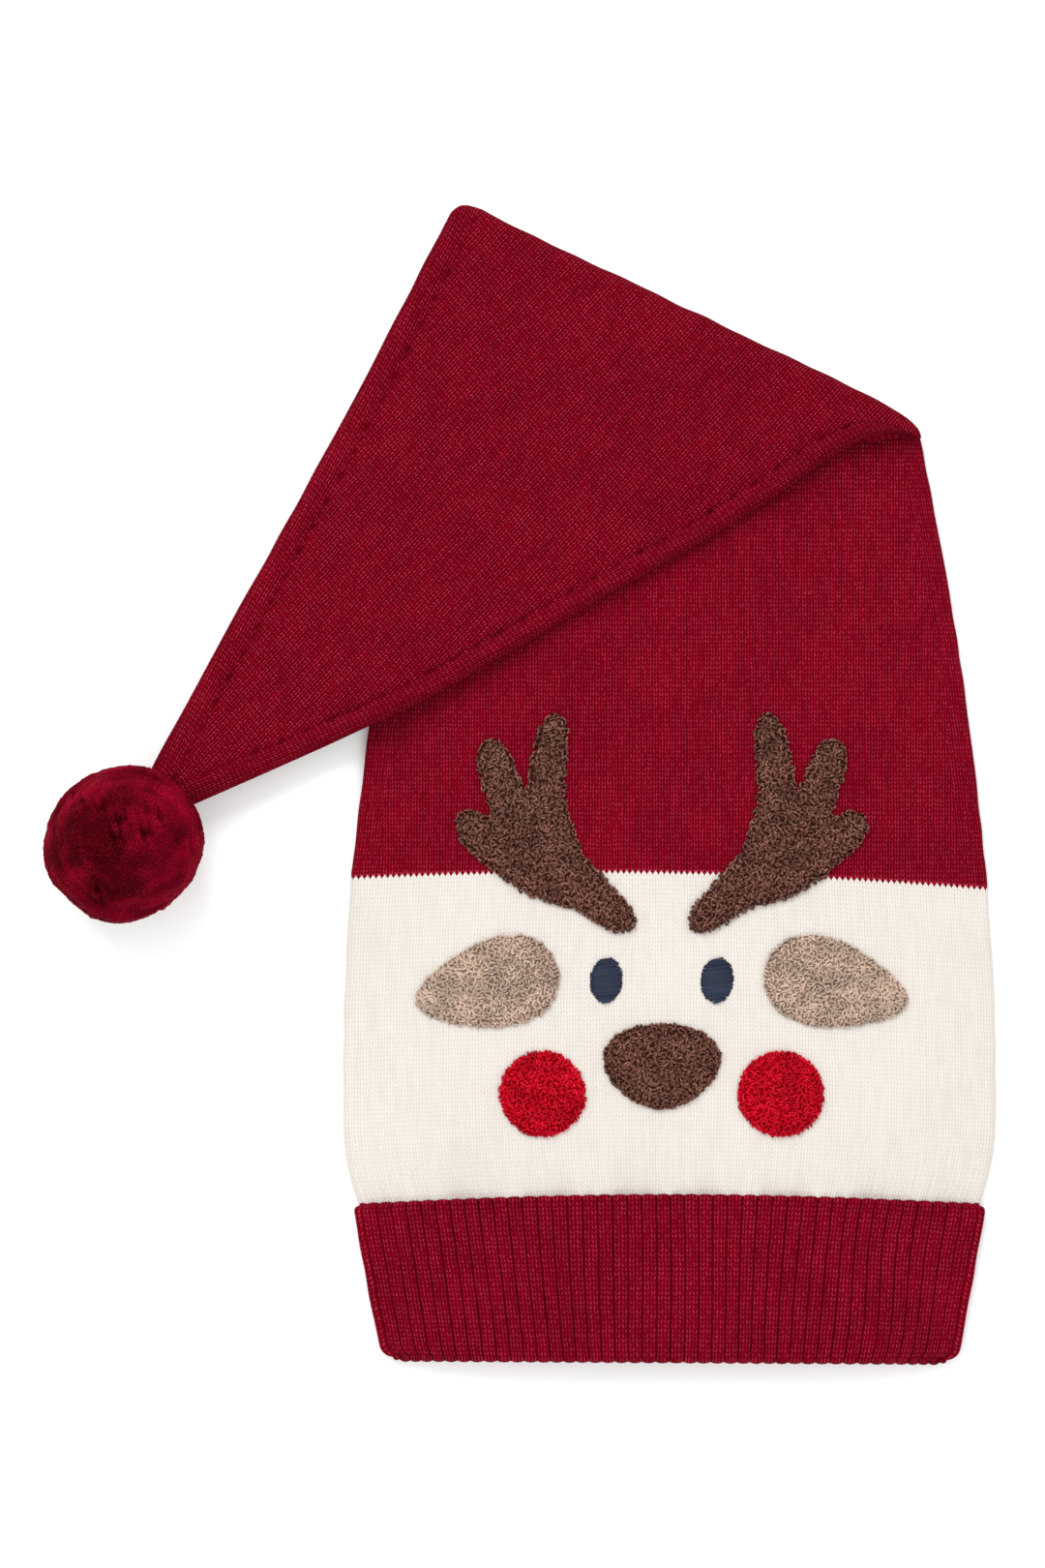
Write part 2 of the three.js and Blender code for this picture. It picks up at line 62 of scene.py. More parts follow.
# %% Camera
PICTURE_CENTRE = (-53.2, 92.75)
PICTURE_HEIGHT = 567.0
LENS = 180.0
SENSOR = 36.0
LIFT = 8.0
camera_height = PICTURE_HEIGHT * LENS / SENSOR + LIFT
bpy.ops.object.select_all(action="DESELECT")
bpy.ops.object.camera_add(
    location=(PICTURE_CENTRE[0] * MM, PICTURE_CENTRE[1] * MM, camera_height * MM),
    rotation=(0, 0, 0),
)
camera = bpy.context.object
camera.data.sensor_fit = "VERTICAL"
camera.data.sensor_height = SENSOR
camera.data.lens = LENS
bpy.context.scene.camera = camera
print("The camera looks down from", round(camera_height), "mm")

# %% Floor and lamps
FLOOR_SIZE, FLOOR_DROP = 3.0, 0.3
ROOM_LIGHT = 1.15
bpy.ops.mesh.primitive_plane_add(size=FLOOR_SIZE, location=(0, 0, -FLOOR_DROP * MM))
floor = bpy.context.object
floor.name = "floor"


def add_window(name, place, size, power):
    """A square soft lamp, its place and size in metres, that faces the middle of the hat."""
    bpy.ops.object.light_add(type="AREA", location=place)
    lamp = bpy.context.object
    lamp.name = name
    lamp.data.size = size
    lamp.data.energy = power
    aim = Vector((PICTURE_CENTRE[0] * MM, PICTURE_CENTRE[1] * MM, 0)) - lamp.location
    lamp.rotation_euler = aim.to_track_quat("-Z", "Y").to_euler()
    return lamp


add_window("window_high", (-0.7, 1.5, 1.7), 1.3, 34.0)
add_window("window_low", (0.9, -1.2, 1.6), 1.6, 10.0)
world = bpy.data.worlds.new("soft_room")
world.use_nodes = True
world.node_tree.nodes["Background"].inputs["Color"].default_value = (1, 1, 1, 1)
world.node_tree.nodes["Background"].inputs["Strength"].default_value = ROOM_LIGHT
bpy.context.scene.world = world
bpy.context.scene.view_settings.view_transform = "Standard"

# %% [markdown]
# ## The hat's sizes
#
# A flat knitted tube is described by lines across it, from one edge to the other. These are the
# widths and heights of the pieces, and how thick the cloth lies. They are the same values that the
# solid model was made from. Tables give what changes along a piece, as shares of those sizes.

# %% Widths, heights and lofts
CUFF_RIM_WIDTH, CUFF_TOP_WIDTH, CUFF_HEIGHT, CUFF_STEP = 207.0, 228.0, 54.5, 2.0
BAND_WIDTH, BAND_HEIGHT = 236.0, 120.0
CROWN_WIDTH, CROWN_TAPER = 230.0, 0.15
CROWN_LEFT_HEIGHT, CROWN_RIGHT_HEIGHT = 239.0, 162.0
TAIL_LENGTH, TAIL_HEADING, TIP_WIDTH = 250.0, math.radians(221.9), 19.0
HEM_BOW, BORDER_TILT, CROWN_EDGE_BOW = 4.0, 4.0, 2.4
KNIT_WALL, EDGE_LOFT = 2.0, 4.6
CUFF_LOFT, BAND_LOFT, CROWN_LOFT, FOLD_LOFT, TAIL_LOFT, TIP_LOFT = 14.0, 16.0, 14.5, 5.2, 7.6, 8.0
DOME_POWER = 4
LAYER_GAP, DROOP_LENGTH, DROOP_HEIGHT, TIP_HEIGHT = 1.0, 60.0, 2.0, 13.0

# how much of its full width and height the band has, from the cuff up
BAND_UP = [0.0, 0.06, 0.14, 0.22, 0.36, 0.57, 0.79, 1.0]
BAND_SWELL = [0.0, 0.4, 0.78, 0.96, 1.0, 0.94, 0.66, 0.0]
BAND_PUFF = [0.0, 0.35, 0.65, 0.88, 1.0, 0.95, 0.6, 0.0]

# how far the tail's edges lie outside straight lines, as shares of the fold's half width
TAIL_DOWN = [0.0, 0.012, 0.03, 0.05, 0.08, 0.125, 0.19, 0.28, 0.42, 0.56, 0.7, 0.82, 0.92, 1.0]
TAIL_LEFT = [
    0.0, -0.001, -0.001, -0.002, -0.003, -0.005, -0.008,
    -0.011, -0.011, -0.007, -0.002, 0.0, 0.0, 0.0,
]
TAIL_RIGHT = [
    0.0, -0.05, -0.084, -0.096, -0.098, -0.083, -0.052,
    -0.024, -0.005, 0.025, 0.044, 0.029, 0.011, 0.0,
]
print("Flat, the band is", BAND_WIDTH, "mm wide, so", 2 * BAND_WIDTH, "mm around")

# %% Helpers for numbers


def lerp(a, b, share):
    """The value at a share of the way from a to b."""
    return a + (b - a) * share


def smooth(value, low, high):
    """0 below low, 1 above high, and a soft S between them."""
    share = np.clip((value - low) / (high - low), 0, 1)
    return share * share * (3 - 2 * share)


def soft_table(places, values, reach):
    """A table's values as a curve without corners: the straight lines, blurred three times."""
    fine = np.linspace(0, 1, 401)
    curve = np.interp(fine, places, values)
    for _ in range(3):
        padded = np.pad(curve, reach, mode="reflect", reflect_type="odd")
        curve = np.convolve(padded, np.ones(2 * reach + 1) / (2 * reach + 1), mode="valid")
    return lambda share: np.interp(share, fine, curve)


band_swell = soft_table(BAND_UP, BAND_SWELL, 8)
band_puff = soft_table(BAND_UP, BAND_PUFF, 8)
tail_left = soft_table(TAIL_DOWN, TAIL_LEFT, 8)
tail_right = soft_table(TAIL_DOWN, TAIL_RIGHT, 3)
print("Halfway up, the band has", round(float(band_swell(0.5)), 2), "of its swell")

# %% [markdown]
# ## Lines across the hat
#
# A station counts 0 to 1 up the cuff, 1 to 2 up the band and 2 to 3 up the crown to the fold. At each
# station a straight line crosses the hat, and these lines turn slowly from level at the cuff to the
# slope of the fold. Working with whole arrays of stations at once keeps the script fast.

# %% Sections
EDGE_NEARNESS = 10
# a station this much short of a whole number still counts as the piece below it
JUST_SHORT = 1e-9


def as_section(left, right, bow, loft):
    """The line from left to right, with how far it bows upwards and how high the front is."""
    across = right - left
    length = np.linalg.norm(across, axis=-1)
    return SimpleNamespace(
        centre=(left + right) / 2,
        way=across / length[..., None],
        half=length / 2,
        bow=bow,
        loft=loft,
    )


def body_section(station):
    """The section at each station from 0 at the cuff's rim to 3 at the fold."""
    station = np.asarray(station, dtype=float)
    cuff, band, crown = (np.clip(station - start, 0, 1) for start in (0, 1, 2))
    in_cuff, in_crown = station < 1, station >= 2
    cuff_half = lerp(CUFF_RIM_WIDTH, CUFF_TOP_WIDTH, cuff) / 2
    plain = lerp(CUFF_TOP_WIDTH - 2 * CUFF_STEP, CROWN_WIDTH, band)
    band_half = lerp(plain, BAND_WIDTH, band_swell(band)) / 2
    swell = CROWN_EDGE_BOW * np.sin(math.pi * crown)
    ends = []
    for side, height, drop in ((-1, CROWN_LEFT_HEIGHT, 0), (1, CROWN_RIGHT_HEIGHT, BORDER_TILT)):
        crown_half = CROWN_WIDTH / 2 - CROWN_TAPER * height * crown + swell
        half = np.where(in_cuff, cuff_half, np.where(in_crown, crown_half, band_half))
        cuff_y = -BAND_HEIGHT / 2 - CUFF_HEIGHT * (1 - cuff)
        band_y = BAND_HEIGHT * (band - 0.5) - drop * band
        y = np.where(in_cuff, cuff_y, band_y + height * crown)
        ends.append(np.stack([side * half, y], axis=-1))
    bow = HEM_BOW * np.where(in_cuff, cuff, 1 - crown)
    low = lerp(CUFF_LOFT, CROWN_LOFT, band)
    band_loft = lerp(low, BAND_LOFT, band_puff(band))
    crown_loft = lerp(FOLD_LOFT, CROWN_LOFT, (1 - crown) ** 2)
    loft = np.where(in_cuff, CUFF_LOFT, np.where(in_crown, crown_loft, band_loft))
    return as_section(ends[0], ends[1], bow, loft)


fold = body_section(3)
fold_outward = np.array([-fold.way[1], fold.way[0]])
tail_way = np.array([math.cos(TAIL_HEADING), math.sin(TAIL_HEADING)])
tail_left_way = np.array([tail_way[1], -tail_way[0]])
tail_tip = fold.centre + tail_way * TAIL_LENGTH


def tail_section(share):
    """The section at a share of the way from the fold to the pompom."""
    share = np.asarray(share, dtype=float)
    ends = []
    for side, bow in ((1, tail_left(share)), (-1, tail_right(share))):
        start = fold.centre - side * fold.way * fold.half
        end = tail_tip + tail_left_way * side * TIP_WIDTH / 2
        line = lerp(start, end, share[..., None])
        ends.append(line + tail_left_way * (side * fold.half * bow)[..., None])
    rising = smooth(share, 0, 0.25)
    loft = lerp(FOLD_LOFT, lerp(TAIL_LOFT, TIP_LOFT, share), rising)
    return as_section(ends[0], ends[1], 0.0, loft)


def edge_waver(up_edge, side):
    """How far a side edge wavers outwards, in millimetres, at a height on the hat."""
    drift = 1.7 * np.sin(up_edge / 13)
    return 0.3 + 0.13 * np.sin(up_edge / 4.6 + side * 2 + drift)


def plan_point(section, along):
    """Places in plan at distances along the sections from their middles."""
    side = np.sign(along)
    near_edge = np.clip(np.abs(along / section.half), 0, 1) ** EDGE_NEARNESS
    along = along + side * edge_waver(section.centre[..., 1] + 0 * along, side) * near_edge
    point = section.centre + section.way * along[..., None]
    lift = section.bow * (1 - (along / section.half) ** 2)
    return np.stack([point[..., 0], point[..., 1] + lift], axis=-1)


def front_height(section, along):
    """How high the front lies above the back there."""
    reach = section.half - EDGE_LOFT / 2
    share = np.clip(np.abs(along) / reach, 0, 1)
    return lerp(section.loft, EDGE_LOFT, share**DOME_POWER)


print("The fold is", round(float(2 * fold.half)), "mm long")

# %% [markdown]
# ## How the cloth lies
#
# Real cloth is never quite flat. Slow waves run through it, small puckers gather where the band meets
# the tighter cuff, and the tail rests on the crown, sinks past the crown's edge and rises again to the
# pompom. Each is a small function of the place, so that any piece that lies on the hat can ask how
# high the cloth is under it.

# %% Waves, puckers and resting heights
PUCKER_COUNT, PUCKER_DEPTH, PUCKER_REACH = 8, 0.8, 14.0
EDGE_FADE = 6
HALVINGS = 26
WAVES = [
    # across and up: millimetres for one wave; height: millimetres; start: radians
    {"across": 71.0, "up": 190.0, "height": 0.30, "start": 0.4},
    {"across": -97.0, "up": 83.0, "height": 0.28, "start": 2.1},
    {"across": 46.0, "up": 121.0, "height": 0.16, "start": 4.0},
    {"across": 210.0, "up": -57.0, "height": 0.18, "start": 1.3},
    {"across": 33.0, "up": -64.0, "height": 0.09, "start": 5.2},
]


def slow_waves(x, y):
    """Low waves all over the cloth, calmer on the band, which the embroidery keeps flat."""
    turns = [2 * math.pi * (x / w["across"] + y / w["up"]) + w["start"] for w in WAVES]
    calm = 0.35 + 0.65 * smooth(y, 40, 90)
    return calm * sum(w["height"] * np.sin(turn) for w, turn in zip(WAVES, turns))


def pucker(x, y):
    """Soft upright waves on the band, fading away from the cuff."""
    above = np.maximum(0, y + BAND_HEIGHT / 2 - HEM_BOW)
    wander = x + 3.0 * np.sin(x / 23.0) + 0.06 * above * np.sin(x / 31.0)
    wave = np.cos(2 * math.pi * PUCKER_COUNT * wander / BAND_WIDTH)
    wave = wave + 0.45 * np.cos(2 * math.pi * 2.6 * PUCKER_COUNT * wander / BAND_WIDTH + 1.0)
    side = 1 - np.clip(np.abs(x) / (BAND_WIDTH / 2), 0, 1) ** DOME_POWER
    stronger = 1 + 0.9 * (x / (BAND_WIDTH / 2)) ** 2
    return PUCKER_DEPTH * stronger * wave * side * np.exp(-above / PUCKER_REACH)


def section_through(x, y):
    """The body's section that passes through each place, found by halving."""
    low, high = np.zeros_like(x, dtype=float), np.full_like(x, 3.0, dtype=float)
    for _ in range(HALVINGS):
        middle = (low + high) / 2
        section = body_section(middle)
        along = (x - section.centre[..., 0]) / section.way[..., 0]
        below = plan_point(section, along)[..., 1] < y
        low, high = np.where(below, middle, low), np.where(below, high, middle)
    section = body_section(low)
    return section, (x - section.centre[..., 0]) / section.way[..., 0]


def front_relief(x, y, share):
    """What the waves and puckers add to the front, fading at its edges."""
    fade = 1 - np.clip(np.abs(share), 0, 1) ** EDGE_FADE
    return fade * (slow_waves(x, y) + pucker(x, y))


def body_top(x, y):
    """Height of the hat's front, under the tail, above the floor."""
    section, along = section_through(x, y)
    share = along / (section.half - EDGE_LOFT / 2)
    return front_height(section, along) + front_relief(x, y, share)


def rest_height(plan, share):
    """Height of the tail's underside."""
    section, along = section_through(plan[..., 0], plan[..., 1])
    past = -along - section.half
    drooped = smooth(past, -DROOP_LENGTH / 8, DROOP_LENGTH)
    height = lerp(section.loft + LAYER_GAP, DROOP_HEIGHT, drooped)
    return lerp(height, TIP_HEIGHT, smooth(share, 0.5, 1))


face_heights = body_top(np.array([-60.0, 0.0, 60.0]), np.array([0.0, 0.0, 0.0]))
print("The face band stands", face_heights.round(1), "mm high")

# %% [markdown]
# ## From rings to a mesh
#
# Each knitted piece is a tube: rings of points round its outside, and fewer rings round its inside,
# joined at the open ends into one closed wall. Primitives wouldn't help here, because the cloth has
# to follow the lines above and carry its stitches with it. So every point also gets two pairs of
# numbers, kept as UV maps: its place in the knitting, counted in stitches, and its distance from the
# nearest side edge, where the outermost wales run along with the edge.

# %% Rings
WALES_ACROSS = 112
COURSES_UP_BAND = 75
COURSE = BAND_HEIGHT / COURSES_UP_BAND
EDGE_RADIUS = EDGE_LOFT / 2
QUARTER = CROWN_WIDTH / 2 - EDGE_RADIUS + EDGE_RADIUS * math.pi / 2
WALE = 2 * QUARTER / WALES_ACROSS


def ring_columns(front, back, side):
    """Where a ring's points lie: along the back, up the right crease, back over the front."""
    crease = np.linspace(-90, 90, side + 2)[1:-1]
    t = [np.linspace(-1, 1, back), np.ones(side), np.linspace(1, -1, front), -np.ones(side)]
    turn = [np.full(back, -90.0), crease, np.full(front, 90.0), crease[::-1]]
    is_front = [np.zeros(back), np.zeros(side), np.ones(front), np.zeros(side)]
    is_back = [np.ones(back), np.zeros(side), np.zeros(front), np.zeros(side)]
    return SimpleNamespace(
        t=np.concatenate(t),
        turn=np.radians(np.concatenate(turn)),
        front=np.concatenate(is_front),
        back=np.concatenate(is_back),
    )


def ring_profile(section, columns, inset):
    """Distance along the section, height above the back, and distance from the side edge."""
    radius = EDGE_RADIUS - inset
    reach = section.half - EDGE_RADIUS
    along = columns.t * reach + np.sign(columns.t) * radius * np.cos(columns.turn)
    crease = EDGE_RADIUS + radius * np.sin(columns.turn)
    up = np.where(columns.front > 0, front_height(section, along) - inset, crease)
    edge = EDGE_RADIUS * np.abs(columns.turn) + (1 - np.abs(columns.t)) * reach
    return along, up, edge


def stacked(plan, height):
    """Points from places in plan and heights."""
    return np.concatenate([plan, height[..., None]], axis=-1)


print("A wale is", round(WALE, 2), "mm wide and a course", round(COURSE, 2), "mm high")

# %% Meshes
CREASE_ANGLE = math.radians(55)


def quads_between(starts, size):
    """Quads that join rings of one size, given each ring's first vertex."""
    here = np.arange(size)
    after = (here + 1) % size
    strips = [
        np.stack([a + here, b + here, b + after, a + after], axis=1)
        for a, b in zip(starts[:-1], starts[1:])
    ]
    return np.concatenate(strips).tolist()


def fan(start, size, middle, turned):
    """Triangles from a ring to a vertex in its middle."""
    here = np.arange(size)
    after = (here + 1) % size
    pair = (after, here) if turned else (here, after)
    return np.stack([start + pair[0], start + pair[1], np.full(size, middle)], axis=1).tolist()


def signed_volume(points, faces):
    """Positive where the faces point outwards."""
    tris = [(f[0], f[i], f[i + 1]) for f in faces for i in range(1, len(f) - 1)]
    a, b, c = (points[np.array(tris)[:, k]] for k in range(3))
    return float(np.einsum("ij,ij->i", a, np.cross(b, c)).sum() / 6)


def write_mesh(name, points, faces, maps=None, marks=None):
    """An object from points in millimetres, with UV maps and named values at its points."""
    if signed_volume(points, faces) < 0:
        faces = [face[::-1] for face in faces]
    mesh = bpy.data.meshes.new(name)
    mesh.from_pydata((points * MM).tolist(), [], faces)
    corners = np.empty(len(mesh.loops), dtype=np.int32)
    mesh.loops.foreach_get("vertex_index", corners)
    for label, values in (maps or {}).items():
        layer = mesh.uv_layers.new(name=label)
        layer.data.foreach_set("uv", values[corners].astype(np.float32).ravel())
    for label, values in (marks or {}).items():
        attribute = mesh.attributes.new(label, "FLOAT", "POINT")
        attribute.data.foreach_set("value", values.astype(np.float32))
    mesh.shade_smooth()
    piece = bpy.data.objects.new(name, mesh)
    bpy.context.collection.objects.link(piece)
    return piece


# %% A knitted tube


def only(piece):
    """Selects one object and makes it active."""
    bpy.ops.object.select_all(action="DESELECT")
    piece.select_set(True)
    bpy.context.view_layer.objects.active = piece


def knit_tube(name, outer, inner, closed, maps):
    """A knitted wall from outer and inner rings, open at the first ring. maps: per outer point."""
    size = outer.shape[1]
    pick = np.linspace(0, len(outer) - 1, len(inner)).round().astype(int)
    points = np.concatenate([outer.reshape(-1, 3), inner.reshape(-1, 3)])
    values = {k: np.concatenate([v.reshape(-1, 2), v[pick].reshape(-1, 2)]) for k, v in maps.items()}
    out_starts = [i * size for i in range(len(outer))]
    in_starts = [(len(outer) + i) * size for i in range(len(inner))]
    if closed:
        faces = quads_between(out_starts[::-1] + in_starts, size)
        caps = ((outer[-1], out_starts[-1], False), (inner[-1], in_starts[-1], True))
        for ring, start, turned in caps:
            faces += fan(start, size, len(points), turned)
            points = np.concatenate([points, ring.mean(axis=0)[None]])
            values = {k: np.concatenate([v, v[start : start + 1]]) for k, v in values.items()}
    else:
        faces = quads_between(out_starts + in_starts[::-1] + out_starts[:1], size)
    piece = write_mesh(name, points, faces, maps=values)
    only(piece)
    bpy.ops.object.shade_smooth_by_angle(angle=CREASE_ANGLE)
    return piece


# %% [markdown]
# ## Stitches as a node group
#
# All three knitted pieces show the same stitch: each wale is a column of small Vs, whose two legs
# climb outwards from its middle. Counting in stitches makes this simple. The part of a wale that a
# point lies in gives the leg, and the course number, pushed up with the distance from the wale's
# middle, gives the place across the yarn. Each leg lies a little lower at its outer end, which parts
# the wales. One node group works it out once, and puts out a height for the bump, a mask for the
# shade painted into the gaps and a chance number for each leg. A helper keeps the wiring short.

# %% A helper for wiring nodes


class Wiring:
    """Adds nodes to a tree. An input can be a number, a colour or another node's output."""

    def __init__(self, tree):
        self.tree = tree

    def join(self, value, socket):
        if isinstance(value, bpy.types.NodeSocket):
            self.tree.links.new(value, socket)
        else:
            socket.default_value = value

    def add(self, kind, inputs=None, **settings):
        node = self.tree.nodes.new(kind)
        for key, value in settings.items():
            setattr(node, key, value)
        for key, value in (inputs or {}).items():
            self.join(value, node.inputs[key])
        return node

    def math(self, operation, *values):
        node = self.add("ShaderNodeMath", operation=operation)
        for socket, value in zip(node.inputs, values):
            self.join(value, socket)
        return node.outputs[0]

    def ramp(self, value, low, high, start=0.0, end=1.0):
        """A soft step from start to end as the value goes from low to high."""
        inputs = {"Value": value, "From Min": low, "From Max": high, "To Min": start, "To Max": end}
        node = self.add("ShaderNodeMapRange", inputs, interpolation_type="SMOOTHSTEP")
        return node.outputs["Result"]

    def mix(self, share, low, high):
        return self.math("ADD", self.math("MULTIPLY", self.math("SUBTRACT", high, low), share), low)

    def colour(self, share, low, high, blend="MIX"):
        node = self.add("ShaderNodeMix", data_type="RGBA", blend_type=blend)
        for socket, value in zip((node.inputs[0], node.inputs[6], node.inputs[7]), (share, low, high)):
            self.join(value, socket)
        return node.outputs[2]

    def noise(self, vector, scale, detail=2.0, output="Fac"):
        inputs = {"Vector": vector, "Scale": scale, "Detail": detail}
        return self.add("ShaderNodeTexNoise", inputs).outputs[output]

    def split(self, vector):
        return self.add("ShaderNodeSeparateXYZ", {"Vector": vector}).outputs

    def join_xyz(self, x, y, z=0.0):
        return self.add("ShaderNodeCombineXYZ", {"X": x, "Y": y, "Z": z}).outputs[0]

    def map(self, name):
        return self.add("ShaderNodeUVMap", uv_map=name).outputs[0]

    def named_value(self, name):
        return self.add("ShaderNodeAttribute", attribute_name=name).outputs["Fac"]

    def place(self):
        return self.add("ShaderNodeTexCoord").outputs["Object"]

    def group(self, tree, inputs):
        return self.add("ShaderNodeGroup", inputs, node_tree=tree).outputs

    def off_half(self, value):
        """How far a value's fraction lies from a half."""
        return self.math("ABSOLUTE", self.math("SUBTRACT", self.math("FRACT", value), 0.5))

    def bump(self, height, relief):
        """A shading normal from heights. relief: what a height of 1 stands for, in millimetres."""
        inputs = {"Height": height, "Distance": relief * MM, "Strength": 1.0}
        return self.add("ShaderNodeBump", inputs).outputs[0]


def new_group(name, inputs, outputs):
    """A shader node group with named sockets, and the nodes at its two ends."""
    tree = bpy.data.node_groups.new(name, "ShaderNodeTree")
    for label, value in inputs.items():
        kind = "NodeSocketFloat" if isinstance(value, float) else "NodeSocketColor"
        socket = tree.interface.new_socket(label, in_out="INPUT", socket_type=kind)
        socket.default_value = value
    for label, kind in outputs.items():
        tree.interface.new_socket(label, in_out="OUTPUT", socket_type=kind)
    wires = Wiring(tree)
    return tree, wires, wires.add("NodeGroupInput").outputs, wires.add("NodeGroupOutput").inputs


def new_material(name):
    """A material with nodes, its wiring and its shader."""
    material = bpy.data.materials.new(name)
    material.use_nodes = True
    return material, Wiring(material.node_tree), material.node_tree.nodes["Principled BSDF"]


def cloth(red, green, blue):
    """A solid colour, in linear values."""
    return (red, green, blue, 1.0)


# %% The stitch
stitch_group, w, given, out = new_group(
    "Stocking Stitch",
    {"Wales": 0.0, "Courses": 0.0, "Slope": 1.4, "Unevenness": 0.18},
    {"Height": "NodeSocketFloat", "Gap Shade": "NodeSocketFloat", "Chance": "NodeSocketFloat"},
)
place = w.join_xyz(given["Wales"], given["Courses"])
wander = w.split(w.noise(place, 0.35, 2.0, "Color"))
push_x = w.math("MULTIPLY", w.math("SUBTRACT", wander[0], 0.5), given["Unevenness"])
push_y = w.math("MULTIPLY", w.math("SUBTRACT", wander[1], 0.5), given["Unevenness"])
wale = w.math("ADD", given["Wales"], w.math("MULTIPLY", push_x, 2.0))
course = w.math("ADD", given["Courses"], w.math("MULTIPLY", push_y, 5.0))
off_middle = w.off_half(wale)
climbed = w.math("SUBTRACT", course, w.math("MULTIPLY", off_middle, given["Slope"]))
over_yarn = w.math("FRACT", climbed)
ridge = w.math("MULTIPLY", w.math("MULTIPLY", over_yarn, w.math("SUBTRACT", 1.0, over_yarn)), 4.0)
leg = w.math("MULTIPLY", w.math("MULTIPLY", off_middle, w.math("SUBTRACT", 0.5, off_middle)), 16.0)
leg = w.math("POWER", w.math("MAXIMUM", leg, 0.0), 0.7)
leg = w.math("MULTIPLY", leg, w.ramp(off_middle, 0.22, 0.45, 1.0, 0.72))
height = w.math("MULTIPLY", w.math("POWER", ridge, 0.5), leg)
leg_number = w.math("FLOOR", w.math("MULTIPLY", wale, 2.0))
chance = w.add(
    "ShaderNodeTexWhiteNoise",
    {"Vector": w.join_xyz(leg_number, w.math("FLOOR", climbed))},
    noise_dimensions="2D",
).outputs["Value"]
w.join(height, out["Height"])
# where shade between the legs and the courses is painted in
w.join(w.ramp(height, 0.35, 0.95, 1.0, 0.0), out["Gap Shade"])
w.join(chance, out["Chance"])
print("Group", stitch_group.name, "has", len(stitch_group.nodes), "nodes")

# %% The colour of yarn
yarn_group, w, given, out = new_group(
    "Yarn Colour",
    {
        "Yarn": cloth(0.5, 0.5, 0.5),
        "Gap Shade Colour": cloth(0.1, 0.1, 0.1),
        "Lit Colour": cloth(0.8, 0.8, 0.8),
        "Gap Shade": 0.0,
        "Lit": 0.0,
        "Chance": 0.5,
        "Mottle": 0.5,
        "Patchiness": 0.08,
    },
    {"Color": "NodeSocketColor", "Roughness": "NodeSocketFloat"},
)
# the Lit share paints a highlight over the yarn, and the gap share paints the shade in the gaps
body = w.colour(w.math("MULTIPLY", given["Lit"], given["Chance"]), given["Yarn"], given["Lit Colour"])
body = w.colour(given["Gap Shade"], body, given["Gap Shade Colour"])
low = w.math("SUBTRACT", 1.0, given["Patchiness"])
high = w.math("ADD", 1.0, given["Patchiness"])
cloudy = w.ramp(given["Mottle"], 0.37, 0.63, low, high)
grey = w.join_xyz(cloudy, cloudy, cloudy)
w.join(w.colour(1.0, body, grey, "MULTIPLY"), out["Color"])
w.join(w.ramp(given["Gap Shade"], 0.0, 1.0, 0.78, 0.95), out["Roughness"])
print("Group", yarn_group.name, "has", len(yarn_group.nodes), "nodes")

# %% [markdown]
# ## Knitted finishes
#
# The crown's material reads both maps. Near its side edges the wales follow the edge, and where the
# straight wales run into them the knitter drops stitches: a row of small slits, the fashioning marks,
# sunk into the bump and painted dark as shade. The tail is pulled taut round the fold, so its
# stitches open wider and the shade painted in their gaps is deeper. Every knit paints shade into the
# gaps between its stitches and a highlight onto each leg. The band's material paints the red teeth of
# the colour change, one for each wale. A noise drawn out along the wales, mixed with a cloudy one,
# varies the dye as in real cotton, and gloss is all but off.

# %% A knitted material
STREAKS_ACROSS, STREAKS_ALONG, STREAK_SHARE = 0.8, 0.11, 0.55
CLOUDS, KNIT_FIBRES, KNIT_GLOSS = 38.0, 2600.0, 0.02


def knit_material(name, places, colours, relief=0.5, extra=None):
    """A material from stitch counts.

    places(w) gives the wales, the courses, a mask for marks that are painted dark as shade and
    sunk into the bump, and how open the stitches lie.
    """
    material, w, shader = new_material(name)
    wales, courses, mark_shade, openness = places(w)
    stitch = w.group(stitch_group, {"Wales": wales, "Courses": courses})
    spot = w.place()
    across = w.math("MULTIPLY", wales, STREAKS_ACROSS)
    streak = w.noise(w.join_xyz(across, w.math("MULTIPLY", courses, STREAKS_ALONG)), 1.0, 1.0)
    cloudy = w.mix(STREAK_SHARE, w.noise(spot, CLOUDS, 3.0), streak)
    fibres = w.noise(spot, KNIT_FIBRES, 2.0)
    # painted shade in the gaps, deeper where the stitches lie open, and the marks painted as shade too
    gap = w.math("MULTIPLY", stitch["Gap Shade"], w.math("MULTIPLY", openness, colours["depth"]))
    gap = w.math("MAXIMUM", gap, mark_shade)
    # a painted highlight on the top of each leg
    lit = w.ramp(stitch["Height"], 0.55, 1.0)
    yarn = w.group(yarn_group, {
        "Yarn": colours["yarn"],
        "Gap Shade Colour": colours["gap"],
        "Lit Colour": colours["lit"],
        "Gap Shade": gap,
        "Lit": lit,
        "Chance": w.math("MULTIPLY", stitch["Chance"], w.ramp(fibres, 0.15, 0.65, 0.6, 0.9)),
        "Mottle": cloudy,
        "Patchiness": colours["patchy"],
    })
    colour = yarn["Color"]
    if extra:
        colour = extra(w, colour, lit, gap)
    w.join(colour, shader.inputs["Base Color"])
    w.join(yarn["Roughness"], shader.inputs["Roughness"])
    height = w.math("ADD", stitch["Height"], w.math("MULTIPLY", fibres, 0.1))
    height = w.math("SUBTRACT", height, w.math("MULTIPLY", mark_shade, 1.2))
    w.join(w.bump(height, relief), shader.inputs["Normal"])
    shader.inputs["Specular IOR Level"].default_value = KNIT_GLOSS
    return material


